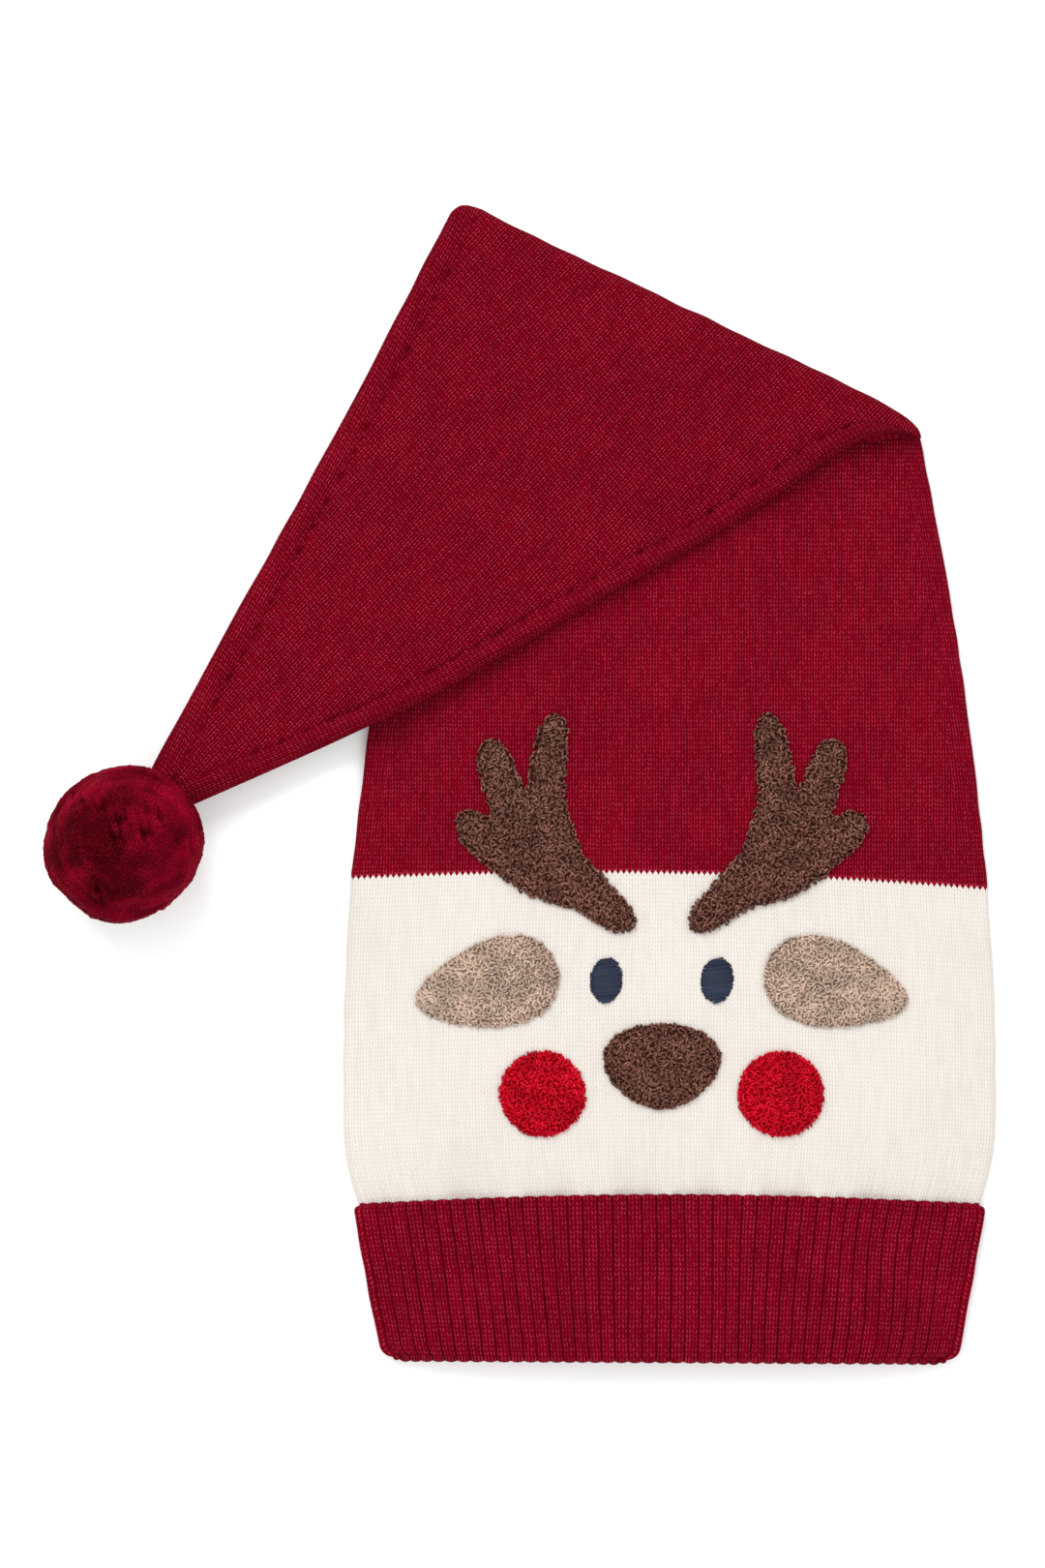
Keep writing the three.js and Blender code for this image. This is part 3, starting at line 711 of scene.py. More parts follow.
# In both knits, the second colour is the shade painted between stitches, the third the highlight painted
# on each leg, and depth how strong the painted gap shade is.
RED = {
    "yarn": cloth(0.226, 0.0010, 0.0116),
    "gap": cloth(0.085, 0.0002, 0.0033),
    "lit": cloth(0.34, 0.022, 0.050),
    "depth": 0.95,
    "patchy": 0.11,
}
CREAM = {
    "yarn": cloth(0.682, 0.632, 0.582),
    "gap": cloth(0.525, 0.483, 0.434),
    "lit": cloth(0.694, 0.655, 0.611),
    "depth": 0.5,
    "patchy": 0.02,
}
MARGIN_WALES = 5
MARK_EVERY = 6.0
TAIL_FROM, TAIL_TO = 150.0, 180.0


def crown_places(w):
    """Straight wales in the middle, wales along the edge beside it, and the marks between them,
    small slits painted dark as shade.

    The courses tell the tail from the body.
    """
    wales, courses, _ = w.split(w.map("knitting"))
    edge, along, _ = w.split(w.map("edge"))
    in_margin = w.math("LESS_THAN", edge, float(MARGIN_WALES))
    near = w.math("SUBTRACT", edge, float(MARGIN_WALES))
    beat = w.math("MULTIPLY_ADD", near, 0.22, w.math("DIVIDE", along, MARK_EVERY))
    slit = w.ramp(w.off_half(beat), 0.05, 0.24, 1.0, 0.0)
    line = w.ramp(w.math("ABSOLUTE", near), 0.15, 0.75, 1.0, 0.0)
    on_tail = w.ramp(along, TAIL_FROM, TAIL_TO, 0.0, 0.8)
    mark_shade = w.math("MULTIPLY", w.math("MULTIPLY", slit, line), on_tail)
    # the tail's open stitches get deeper painted gap shade
    openness = w.ramp(along, TAIL_FROM, TAIL_TO, 0.72, 1.0)
    return w.mix(in_margin, wales, edge), w.mix(in_margin, courses, along), mark_shade, openness


def band_places(w):
    """Straight wales all over, without marks."""
    wales, courses, _ = w.split(w.map("knitting"))
    return wales, courses, 0.0, 1.0


def red_teeth(w, colour, lit, gap):
    """Red Vs that hang from the colour change into the cream."""
    wales, courses, _ = w.split(w.map("knitting"))
    reach = w.math("MULTIPLY_ADD", w.off_half(wales), 2.0, 0.3)
    below = w.math("SUBTRACT", float(COURSES_UP_BAND), courses)
    is_red = w.ramp(w.math("SUBTRACT", reach, below), -0.12, 0.12)
    # the red Vs get the red knit's painted highlight and painted gap shade
    red = w.colour(gap, w.colour(lit, RED["yarn"], RED["lit"]), RED["gap"])
    return w.colour(is_red, colour, red)


red_knit = knit_material("red_knit", crown_places, RED)
cream_knit = knit_material("cream_knit", band_places, CREAM, relief=0.3, extra=red_teeth)
print("Materials so far:", [m.name for m in bpy.data.materials if m.name.endswith("_knit")])

# %% [markdown]
# ## The crown and its tail
#
# The crown is one tube, laid in three stretches: up the body, round the fold, and down the tail on top
# of the body. Its rings are laid by the sections, and the knitting is counted as if the hat were
# unfolded, by mirroring the tail across the fold, so that the wales run on without a break and meet
# the tail's edges at the same slant as on a real hat.

# %% Laying the crown
LEFT_CORNER, RIGHT_CORNER = 5.0, 19.0
# where the tail lifts off the body, as shares of its half width and its length, and by how much
HOLLOW = {"across": 0.9, "down": 0.05, "height": 3.0}
TAIL_LEAN = 0.146
TAIL_END = 1.03
# the margin's roll, in millimetres, and how much of it shows on the body
ROLL_AT, ROLL_SPREAD, ROLL_HEIGHT, GROOVE_SPREAD = 5.2, 3.4, 1.9, 1.3
BODY_MARGIN = 0.22
# rings up the body, round the fold and down the tail
CROWN_RINGS, LINING_RINGS = (110, 13, 124), (12, 9, 14)


def fabric_of_tail(plan, arm):
    """Where a place on the tail would lie if the hat were unfolded."""
    from_fold = plan - fold.centre
    out = from_fold @ fold_outward
    return plan + fold_outward * (math.pi * np.maximum(arm, 0) - 2 * out)[..., None]


def margin_relief(edge, along):
    """The denser margin stands up as a low roll, and the line of marks beside it sinks in."""
    swell = np.exp(-(((edge - ROLL_AT) / ROLL_SPREAD) ** 2))
    groove = np.exp(-(((edge - MARGIN_WALES * WALE) / GROOVE_SPREAD) ** 2))
    return ROLL_HEIGHT * swell - groove * (1.0 + 0.35 * np.sin(along / 2.3))


def crown_body(count, columns, inset):
    """Rings up the body: their points, places in the flat fabric and edge distances."""
    station = np.linspace(2, 3, count)[:, None]
    body = body_section(station)
    along, up, edge = ring_profile(body, columns, inset)
    plan = plan_point(body, along)
    share = along / (body.half - EDGE_RADIUS)
    relief = front_relief(plan[..., 0], plan[..., 1], share)
    in_margin = BODY_MARGIN * smooth(station, 2.05, 2.3)
    relief = relief + in_margin * margin_relief(edge, plan[..., 1])
    return stacked(plan, up + columns.front * relief), plan, edge


def fold_waver(along):
    """The roll's uneven reach outwards, with a bead at its left end."""
    bead = 0.10 * np.exp(-(((along + fold.half - 9) / 3.5) ** 2))
    slow = 0.03 * np.sin(along / 6.5 + 1.5 * np.sin(along / 17))
    return 1.05 + slow + 0.02 * np.sin(along / 2.7) + bead


def crown_fold(count, columns, inset):
    """Rings round the fold, as for the body, and how far each column bends."""
    turn = math.pi * np.linspace(0, 1, count + 2)[1:-1][:, None]
    profile = ring_profile(fold, columns, inset)
    along, up, edge = (np.broadcast_to(a, (count, len(columns.t))) for a in profile)
    flat = plan_point(fold, along)
    axis = (rest_height(flat, 0.0) + front_height(fold, along)) / 2
    arm = axis - up
    corner = np.where(along < 0, LEFT_CORNER, RIGHT_CORNER)
    to_corner = np.clip((fold.half - np.abs(along)) / corner, 0, 1)
    round_end = np.sqrt(1 - (1 - to_corner) ** 2)
    reach = arm * np.sin(turn) * round_end * fold_waver(along)
    bent = flat + fold_outward * reach[..., None]
    fabric = flat + fold_outward * (turn * np.maximum(arm, 0))[..., None]
    return stacked(bent, axis - arm * np.cos(turn)), fabric, edge, arm[-1]


def crown_tail(count, columns, inset, arm):
    """Rings down the tail, as for the body, given how far each column bent at the fold."""
    share = np.linspace(0, TAIL_END, count)[:, None]
    tail = tail_section(share)
    along, up, edge = ring_profile(tail, columns, inset)
    plan = plan_point(tail, along)
    unfolded = fabric_of_tail(plan, np.broadcast_to(arm, along.shape))
    fade = 1 - np.clip(np.abs(along / (tail.half - EDGE_RADIUS)), 0, 1) ** EDGE_FADE
    relief = fade * slow_waves(unfolded[..., 0] + 40, unfolded[..., 1])
    in_margin = smooth(share, 0, 0.06) * (1 - 0.85 * smooth(share, 0.8, 0.97))
    relief = relief * smooth(share, 0, 0.1) + in_margin * margin_relief(edge, plan[..., 1])
    sideways = along / tail.half
    lift = HOLLOW["height"] * np.exp(-(((sideways - HOLLOW["across"]) / 0.2) ** 2))
    lift = lift * np.exp(-(((share - HOLLOW["down"]) / 0.05) ** 2)) * smooth(share, 0, 0.02)
    base = rest_height(plan, share) + lift
    height = base + front_height(tail, along) - up + columns.back * relief
    return stacked(plan, height), unfolded, np.broadcast_to(edge, along.shape)


def lay_crown(rings, columns, inset):
    """Points, places in the flat fabric and edge distances of the crown's rings."""
    body = crown_body(rings[0], columns, inset)
    *fold_rings, arm = crown_fold(rings[1], columns, inset)
    tail = crown_tail(rings[2], columns, inset, arm)
    return tuple(np.concatenate(parts) for parts in zip(body, fold_rings, tail))


print("The tail's end lies at", tail_tip.round(1), "mm")

# %% The crown's stitches


def stitch_maps(fabric, edge):
    """Both UV maps: straight wales and courses, and wales and courses along the edge."""
    courses = COURSES_UP_BAND + (fabric[..., 1] - BAND_HEIGHT / 2) / COURSE
    past_fold = np.maximum((fabric - fold.centre) @ fold_outward, 0)
    wales = (fabric[..., 0] - TAIL_LEAN * past_fold) / WALE + WALES_ACROSS / 2
    straight = np.stack([wales, courses], axis=-1)
    return {"knitting": straight, "edge": np.stack([edge / WALE, courses], axis=-1)}


crown_columns = ring_columns(front=104, back=104, side=9)
outer, fabric, edge = lay_crown(CROWN_RINGS, crown_columns, 0.0)
inner = lay_crown(LINING_RINGS, crown_columns, KNIT_WALL)[0]
crown = knit_tube("crown_knit", outer, inner[:-1], True, stitch_maps(fabric, edge))
crown.data.materials.append(red_knit)
print("The crown has", len(crown.data.polygons), "faces")

# %% [markdown]
# ## The face band
#
# The band is a straight tube, so its wales can simply be shared out round it: 112 across the front and
# 112 across the back. Where it is drawn in to the cuff its stitches crowd together, as they do on the
# real hat.

# %% Laying the band
HEM_TUCK = 0.6


def lay_band(stations, columns, inset):
    """Points of the band's rings, and their places in the knitting."""
    section = body_section(stations[:, None])
    along, up, edge = ring_profile(section, columns, inset)
    plan = plan_point(section, along)
    share = along / (section.half - EDGE_RADIUS)
    relief = front_relief(plan[..., 0], plan[..., 1], share)
    points = stacked(plan, up + columns.front * relief)
    half_way = section.half - EDGE_RADIUS + EDGE_RADIUS * math.pi / 2
    from_left = np.where(columns.t < 0, edge, 2 * half_way - edge) / (2 * half_way)
    courses = (stations[:, None] - 1) * COURSES_UP_BAND + 0 * along
    return points, np.stack([from_left * WALES_ACROSS, courses], axis=-1)


band_columns = ring_columns(front=150, back=90, side=8)
outer, knitting = lay_band(np.linspace(1, 2 - JUST_SHORT, 84), band_columns, 0.0)
inner, _ = lay_band(np.linspace(1, 2 - JUST_SHORT, 14), band_columns, KNIT_WALL)
for rings in (outer, inner):
    rings[0, :, 1] -= HEM_TUCK
band = knit_tube("face_band_knit", outer, inner, False, {"knitting": knitting})
band.data.materials.append(cream_knit)
print("The band has", len(band.data.polygons), "faces")

# %% [markdown]
# ## The rib cuff
#
# Ribs are too deep for a bump, so they are real: every rib is a rounded ridge two wales wide, with a
# narrow valley beside it. The cuff's two edges are rounded too, with a bump at the end of each rib,
# and its upper edge stands a little proud of the cream.

# %% Laying the cuff
RIB_COUNT, RIB_RELIEF, BACK_DROP = 42, 1.15, 1.6
RIM_CORNER, TOP_CORNER, RIM_TILT = 4.0, 2.2, 0.6


def rib_raise(t):
    """How high the rib stands at a place across the cuff, from 0 in a valley to 1."""
    within = (t + 1) / 2 * RIB_COUNT
    return np.abs(np.sin(math.pi * within)) ** 0.8


def corner_inset(from_end, radius):
    """How far a side lies inwards at a distance from an end with rounded corners."""
    inside = np.clip(radius - from_end, 0, radius)
    return radius - np.sqrt(radius**2 - inside**2)


def lay_cuff(steps, columns):
    """Rings from pairs of station, push along the hat and inset into the wall."""
    station, push, inset = (np.array(column)[:, None] for column in zip(*steps))
    section = body_section(np.clip(station, 0, 1 - JUST_SHORT))
    along, up, edge = ring_profile(section, columns, inset)
    from_rim, from_top = station * CUFF_HEIGHT, (1 - station) * CUFF_HEIGHT
    rounding = corner_inset(from_rim, RIM_CORNER) + corner_inset(from_top, TOP_CORNER)
    along = along - np.sign(columns.t) * rounding * np.abs(columns.t) ** 8
    raised = np.where(np.abs(columns.t) < 1, rib_raise(columns.t), np.cos(columns.turn) ** 0.5)
    uneven = 0.85 + 0.15 * np.sin(columns.t * 57.0 + 1.3 * np.sin(station * 4))
    uneven = uneven - 0.3 * np.abs(columns.t) ** 12
    near_top = np.exp(-(((1 - station) / 0.035) ** 2)) * columns.front
    top_bead = 0.7 * near_top * (0.4 + 0.6 * raised)
    relief = (raised * RIB_RELIEF * uneven + top_bead) * (inset < KNIT_WALL)
    plan = plan_point(section, along + relief * np.cos(columns.turn) * np.sign(columns.t))
    drop = BACK_DROP * (columns.back + 0.5 * (1 - columns.back - columns.front))
    y = plan[..., 1] - (drop + RIM_TILT * columns.t) * (1 - station) + push * (0.45 + 0.55 * raised)
    sway = 0.5 * np.sin(station * 3.1 + columns.t * 9.0) * (1 - columns.t**2)
    sway = sway + 1.1 * np.sin(station * 5.2 + 0.8) * np.exp(-(((columns.t - 0.72) / 0.18) ** 2))
    height = RIB_RELIEF + up + relief * np.sin(columns.turn)
    points = stacked(np.stack([plan[..., 0] + sway, y], axis=-1), np.maximum(height, 0))
    past_side = np.sign(columns.t) * (0.5 - columns.turn / math.pi) * (1 - columns.front - columns.back)
    wales = (columns.t + 1) * RIB_COUNT + 2 * past_side + 0 * along
    courses = station * CUFF_HEIGHT / COURSE + 0 * along
    return points, np.stack([wales, courses], axis=-1)


up_cuff = [0, 0.004, 0.014, 0.03, 0.05, 0.075, *np.linspace(0.1, 0.9, 28), 0.93, 0.955, 0.975, 0.99, 1]
face_steps = [(s, 0.0, 0.0) for s in up_cuff]
rim_steps = [(0.0, -1.2, 1.0), (0.0, -0.9, 0.35)]
lip_steps = [(1.0, 0.8, 0.4), (1.0, 0.95, 1.0)]
cuff_columns = ring_columns(front=RIB_COUNT * 9 + 1, back=RIB_COUNT * 6 + 1, side=8)
outer, knitting = lay_cuff(rim_steps + face_steps + lip_steps, cuff_columns)
inner_steps = [(s, 0.0, KNIT_WALL) for s in np.linspace(0, 1, 6)]
inner = lay_cuff(inner_steps, cuff_columns)[0]
cuff = knit_tube("rib_cuff_knit", outer, inner, False, {"knitting": knitting})
print("The cuff has", len(cuff.data.polygons), "faces")

# %% The cuff's finish
# how strong the painted gap shade is on the cuff
RIB_OPENNESS = 0.75


def rib_places(w):
    """Two wales to a rib, and shade painted into the valley beside them."""
    wales, courses, _ = w.split(w.map("knitting"))
    off_rib = w.off_half(w.math("DIVIDE", wales, 2.0))
    return wales, courses, w.ramp(off_rib, 0.36, 0.49, 0.0, 0.38), RIB_OPENNESS


red_rib = knit_material("red_rib_knit", rib_places, {**RED, "yarn": cloth(0.222, 0.0009, 0.0124)})
cuff.data.materials.append(red_rib)
print("The cuff's material is", red_rib.name)

# %% [markdown]
# ## Looped pile
#
# The antlers, ears, nose and cheeks are embroidered with a looped yarn. One small loop is modelled: a
# ring, stood upright and cut off below, closed where it was cut. Then it is copied thousands of
# times over a low cushion of the patch's shape, each copy turned, tipped and sized by chance. Copying
# into one mesh keeps the scene light. Each copy also carries a chance number and its height, which the
# material uses to vary the yarn and to darken its roots.
# The dark roots are painted shade, and the lit tips carry a painted highlight.

# %% One loop of yarn
chance_of = np.random.default_rng(12)


def model_loop():
    """A loop of yarn of about one millimetre, standing on its cut ends."""
    bpy.ops.object.select_all(action="DESELECT")
    bpy.ops.mesh.primitive_torus_add(
        major_segments=8, minor_segments=4, major_radius=0.78, minor_radius=0.37,
        rotation=(math.pi / 2, 0, 0),
    )
    loop = bpy.context.object
    bpy.ops.object.transform_apply(location=False, rotation=True, scale=False)
    bpy.ops.object.mode_set(mode="EDIT")
    bpy.ops.mesh.select_all(action="SELECT")
    bpy.ops.mesh.bisect(plane_co=(0, 0, -0.2), plane_no=(0, 0, 1), clear_inner=True, use_fill=True)
    bpy.ops.mesh.select_all(action="SELECT")
    bpy.ops.mesh.normals_make_consistent(inside=False)
    bpy.ops.object.mode_set(mode="OBJECT")
    return loop


def take_shape(piece):
    """A small model's points and faces as arrays. The model itself is removed."""
    points = np.array([v.co[:] for v in piece.data.vertices])
    faces = [list(p.vertices) for p in piece.data.polygons]
    bpy.data.objects.remove(piece)
    return points, faces


loop_points, loop_faces = take_shape(model_loop())
print("A loop has", len(loop_faces), "faces")

# %% Copying a shape many times


def from_rows(*rows):
    """Matrices, one for each angle, from their rows."""
    return np.stack([np.stack(row, -1) for row in rows], -2)


def turned(spin, tilt, lean):
    """Matrices that tip a shape by tilt towards lean, after spinning it."""

    def about_z(angle):
        c, s, o, i = np.cos(angle), np.sin(angle), np.zeros_like(angle), np.ones_like(angle)
        return from_rows([c, -s, o], [s, c, o], [o, o, i])

    c, s, o, i = np.cos(tilt), np.sin(tilt), np.zeros_like(tilt), np.ones_like(tilt)
    about_y = from_rows([c, o, s], [o, i, o], [-s, o, c])
    return about_z(lean) @ about_y @ about_z(-lean) @ about_z(spin)


def copies(points, faces, matrices, places, sizes):
    """All the copies' points and faces, with each point's copy number and height in the shape."""
    moved = np.einsum("nij,vj->nvi", matrices, points) * sizes[:, None, None] + places[:, None, :]
    count, each = len(places), len(points)
    all_faces = [[i + n * each for i in face] for n in range(count) for face in faces]
    low, high = points[:, 2].min(), points[:, 2].max()
    depth = np.tile((points[:, 2] - low) / (high - low), count)
    return moved.reshape(-1, 3), all_faces, np.repeat(np.arange(count), each), depth


def add_shapes(first, second):
    """Two sets of points and faces as one."""
    shifted = [[i + len(first[0]) for i in face] for face in second[1]]
    return np.concatenate([first[0], second[0]]), first[1] + shifted


# %% [markdown]
# ## The pile's finish
#
# Every pile has the same recipe with its own yarn: the roots are dark because little light gets down
# to them, each loop or lock has its own shade, and the tips are lit. A fine noise stands in for the
# fibres.

# %% Pile materials
PILE_FIBRES, FIBRE_RELIEF = 3200.0, 0.10
PILE_YARNS = {
    # linear colours of the yarn, the shade painted at its roots and the highlight painted on its
    # lit tips, and the sheen
    "brown_pile": ((0.080, 0.0295, 0.0205), (0.036, 0.0120, 0.0082), (0.27, 0.130, 0.094), 0.03),
    "taupe_pile": ((0.37, 0.262, 0.200), (0.28, 0.192, 0.145), (0.56, 0.44, 0.365), 0.07),
    "scarlet_pile": ((0.36, 0.0008, 0.0078), (0.27, 0.0, 0.0040), (0.62, 0.012, 0.034), 0.02),
    "wine_pile": ((0.058, 0.0, 0.0020), (0.012, 0.0, 0.0004), (0.235, 0.0010, 0.0150), 0.12),
}


def pile_material(name, yarn, root, lit, sheen):
    """A material that reads each point's depth and shade, and paints root shade and tip highlights."""
    material, w, shader = new_material(name)
    depth, shade, spot = w.named_value("depth"), w.named_value("shade"), w.place()
    fibres = w.noise(spot, PILE_FIBRES, 2.0)
    mixed = w.group(yarn_group, {
        "Yarn": cloth(*yarn),
        "Gap Shade Colour": cloth(*root),
        "Lit Colour": cloth(*lit),
        # painted shade at the roots, and a painted highlight on the tips
        "Gap Shade": w.ramp(depth, 0.0, 0.6, 1.0, 0.0),
        "Lit": w.ramp(depth, 0.45, 1.0),
        "Chance": w.math("MULTIPLY", shade, w.ramp(fibres, 0.1, 0.6, 0.5, 1.0)),
        "Mottle": w.noise(spot, 130.0, 3.0),
        "Patchiness": 0.16,
    })
    w.join(mixed["Color"], shader.inputs["Base Color"])
    w.join(mixed["Roughness"], shader.inputs["Roughness"])
    w.join(w.bump(fibres, FIBRE_RELIEF), shader.inputs["Normal"])
    shader.inputs["Specular IOR Level"].default_value = 0.03
    shader.inputs["Sheen Weight"].default_value = sheen
    shader.inputs["Sheen Roughness"].default_value = 0.5
    shader.inputs["Sheen Tint"].default_value = cloth(*lit)
    return material


brown_pile, taupe_pile, scarlet_pile, wine_pile = (
    pile_material(name, *finish) for name, finish in PILE_YARNS.items()
)
print("Pile yarns:", [m.name for m in bpy.data.materials if m.name.endswith("_pile")])

# %% [markdown]
# ## The face's patches
#
# A patch is an oval, narrower at one end, or for the antlers a branching strip. It lies on the knitted
# front, so its height is asked of the cloth below it. The cushion under the loops is a closed low dome.

# %% Patches of loops
FACE_X, JOIN_GAP, PILE_RISE = -3.0, 0.3, 2.6
LOOPS_PER_MM2 = 0.92
RIM_PITCH = 1.15
LOOP_JITTER = 0.22
# how far out the loops of the field and of the rim stand, as shares of the way to the outline
FIELD_REACH, RIM_REACH = 0.92, 0.95
SIDES = (("left", -1), ("right", 1))
EAR = {"out": 63, "up": 20, "length": 54, "width": 31, "tilt": math.radians(-14), "narrow": 0.34}
CHEEK = {"out": 43, "up": -19, "length": 31, "width": 31, "tilt": 0.0, "narrow": 0.0}
NOSE = {"out": 0, "up": -9, "length": 31, "width": 42, "tilt": math.radians(90), "narrow": -0.2}


def patch_place(shape, side, turn, out):
    """Plan places in a patch, by turn round its middle and share of the way to its outline."""
    long = shape["length"] / 2 * np.cos(turn)
    short = shape["width"] / 2 * np.sin(turn) * (1 - shape["narrow"] * np.cos(turn))
    c, s = math.cos(shape["tilt"]), math.sin(shape["tilt"])
    x, y = (long * c - short * s) * out, (long * s + short * c) * out
    return FACE_X + side * (shape["out"] + x), shape["up"] + y


def dome(out):
    """Height of the cushion under the loops."""
    return 0.62 * PILE_RISE * (1 - np.clip(out, 0, 1) ** 4)


def dome_rings(place_at, outs, size):
    """A closed low dome from rings: under, rim and up to the middle."""
    turn = np.linspace(0, 2 * math.pi, size, endpoint=False)
    rings = []
    for out, height in outs:
        x, y = place_at(turn, out)
        rings.append(np.stack([x, y, body_top(x, y) + JOIN_GAP + height], axis=-1))
    points = np.concatenate(rings)
    faces = quads_between([i * size for i in range(len(rings))], size)
    for ring, start, turned_over in ((rings[0], 0, False), (rings[-1], (len(rings) - 1) * size, True)):
        faces += fan(start, size, len(points), turned_over)
        points = np.concatenate([points, ring.mean(axis=0)[None]])
    return points, faces


def loops_at(x, y, out, lean):
    """Loops standing on a cushion, leaning outwards near its rim."""
    count = len(x)
    places = np.stack([x, y, body_top(x, y) + JOIN_GAP + dome(out) - 0.1], axis=-1)
    rim = smooth(out, 0.7, 0.95)
    tilt = lerp(chance_of.uniform(0.15, 1.05, count), 0.95, rim)
    spread = lerp(chance_of.uniform(-math.pi, math.pi, count), lean, rim > 0.5)
    matrices = turned(chance_of.uniform(0, math.pi, count), tilt, spread)
    return copies(loop_points, loop_faces, matrices, places, chance_of.uniform(0.85, 1.2, count))


def make_pile(name, base, loops, material, shade_of_each=None, base_depth=0.05, base_shade=0.3):
    """One object from the cushion and its loops."""
    points, faces, numbers, depth = loops
    all_points, all_faces = add_shapes(base, (points, faces))
    if shade_of_each is None:
        shade_of_each = chance_of.uniform(0, 1, numbers.max() + 1)
    shades = shade_of_each[numbers]
    # base_depth sets how much painted root shade the cushion or ball under the pile gets
    marks = {
        "depth": np.concatenate([np.full(len(base[0]), base_depth), depth]),
        "shade": np.concatenate([np.broadcast_to(base_shade, len(base[0])), shades]),
    }
    piece = write_mesh(name, all_points, all_faces, marks=marks)
    piece.data.materials.append(material)
    return piece


print("The nose is", NOSE["width"], "mm wide and", NOSE["length"], "mm high")

# %% Nose, ears and cheeks


def golden_turns(number):
    """Turns that spread numbered things evenly, like the seeds of a sunflower."""
    return number * math.pi * (3 - math.sqrt(5))


def jittered(x, y):
    """Places moved a little by chance, so that no rows show."""
    return x + chance_of.normal(0, LOOP_JITTER, len(x)), y + chance_of.normal(0, LOOP_JITTER, len(y))


def oval_pile(name, shape, side, material):
    """An oval patch: loops spread evenly inside, and a row of them round its rim."""
    outs = [(0.5, 0.0), (0.93, 0.0), (0.97, 0.35)]
    outs += [(out, float(dome(out))) for out in (0.9, 0.7, 0.4)]
    base = dome_rings(lambda turn, out: patch_place(shape, side, turn, out), outs, 40)
    count = int(math.pi / 4 * shape["length"] * shape["width"] * LOOPS_PER_MM2)
    number = np.arange(count)
    around = int(math.pi / 2 * (shape["length"] + shape["width"]) / RIM_PITCH)
    out = np.append(np.sqrt((number + 0.5) / count) * FIELD_REACH, np.full(around, RIM_REACH))
    rim_turn = np.linspace(0, 2 * math.pi, around, endpoint=False)
    turn = np.append(golden_turns(number), rim_turn)
    x, y = jittered(*patch_place(shape, side, turn, out))
    centre = patch_place(shape, side, np.zeros(1), 0.0)
    lean = np.arctan2(y - centre[1], x - centre[0])
    return make_pile(name, base, loops_at(x, y, out, lean), material)


nose = oval_pile("nose_pile", NOSE, 1, brown_pile)
ears = {s: oval_pile(f"ear_{s}_pile", EAR, k, taupe_pile) for s, k in SIDES}
cheeks = {s: oval_pile(f"cheek_{s}_pile", CHEEK, k, scarlet_pile) for s, k in SIDES}
print("The nose has", len(nose.data.polygons), "faces")

# %% Antlers
ANTLER_SPREAD, ANTLER_HEIGHT, ANTLER_STROKE = 58.0, 72.0, 14.5
ANTLER_FOOT = (13.0, 43.0)
# half the width searched for an antler's cushion and loops, and how far out each may lie
ANTLER_REACH, CUSHION_EDGE, LOOP_EDGE = 44, 0.95, 0.97
ANTLER_LIMBS = {
    "beam": [(0, 0), (0.2, 0.13), (0.4, 0.34), (0.49, 0.64), (0.44, 1)],
    "lower_tine": [(0.22, 0.16), (0.6, 0.24), (1, 0.5)],
    "upper_tine": [(0.42, 0.42), (0.7, 0.56), (0.84, 0.86)],
}
LIMB_AT = [0, 0.1, 0.25, 0.85, 0.95, 1]
LIMB_WIDTH = [0.45, 0.86, 1, 0.9, 0.72, 0.4]


def limb_line(points, side, count):
    """A smooth line through a limb's points, with the limb's half width along it."""
    points = np.array(points, dtype=float)
    padded = np.vstack([points[:1], points, points[-1:]])
    at = np.linspace(0, 1, count)
    step = at * (len(points) - 1)
    i = np.minimum(step.astype(int), len(points) - 2)
    t = (step - i)[:, None]
    a, b, c, d = (padded[i + k] for k in range(4))
    curve = 0.5 * (
        2 * b
        + (c - a) * t
        + (2 * a - 5 * b + 4 * c - d) * t**2
        + (3 * b - a - 3 * c + d) * t**3
    )
    x = FACE_X + side * (ANTLER_FOOT[0] + curve[:, 0] * ANTLER_SPREAD)
    y = ANTLER_FOOT[1] + curve[:, 1] * ANTLER_HEIGHT
    return np.stack([x, y], axis=-1), ANTLER_STROKE / 2 * np.interp(at, LIMB_AT, LIMB_WIDTH)


def antler_out(x, y, side):
    """Share of the way from the nearest limb's line to its outline, and the way outwards."""
    best, lean, together = np.full(x.shape, 9.0), np.zeros(x.shape), np.zeros(x.shape)
    for points in ANTLER_LIMBS.values():
        line, half = limb_line(points, side, 60)
        dx, dy = x[:, None] - line[:, 0], y[:, None] - line[:, 1]
        share = np.hypot(dx, dy) / half
        nearest = share.argmin(axis=1)
        row = np.arange(len(x))
        closer = share[row, nearest] < best
        best = np.where(closer, share[row, nearest], best)
        together += np.maximum(share[row, nearest], 0.02) ** -4.0
        lean = np.where(closer, np.arctan2(dy[row, nearest], dx[row, nearest]), lean)
    return together ** (-1 / 4), lean


def antler_middle(side):
    """The middle of an antler's width, across the hat."""
    return FACE_X + side * (ANTLER_FOOT[0] + ANTLER_SPREAD / 2)


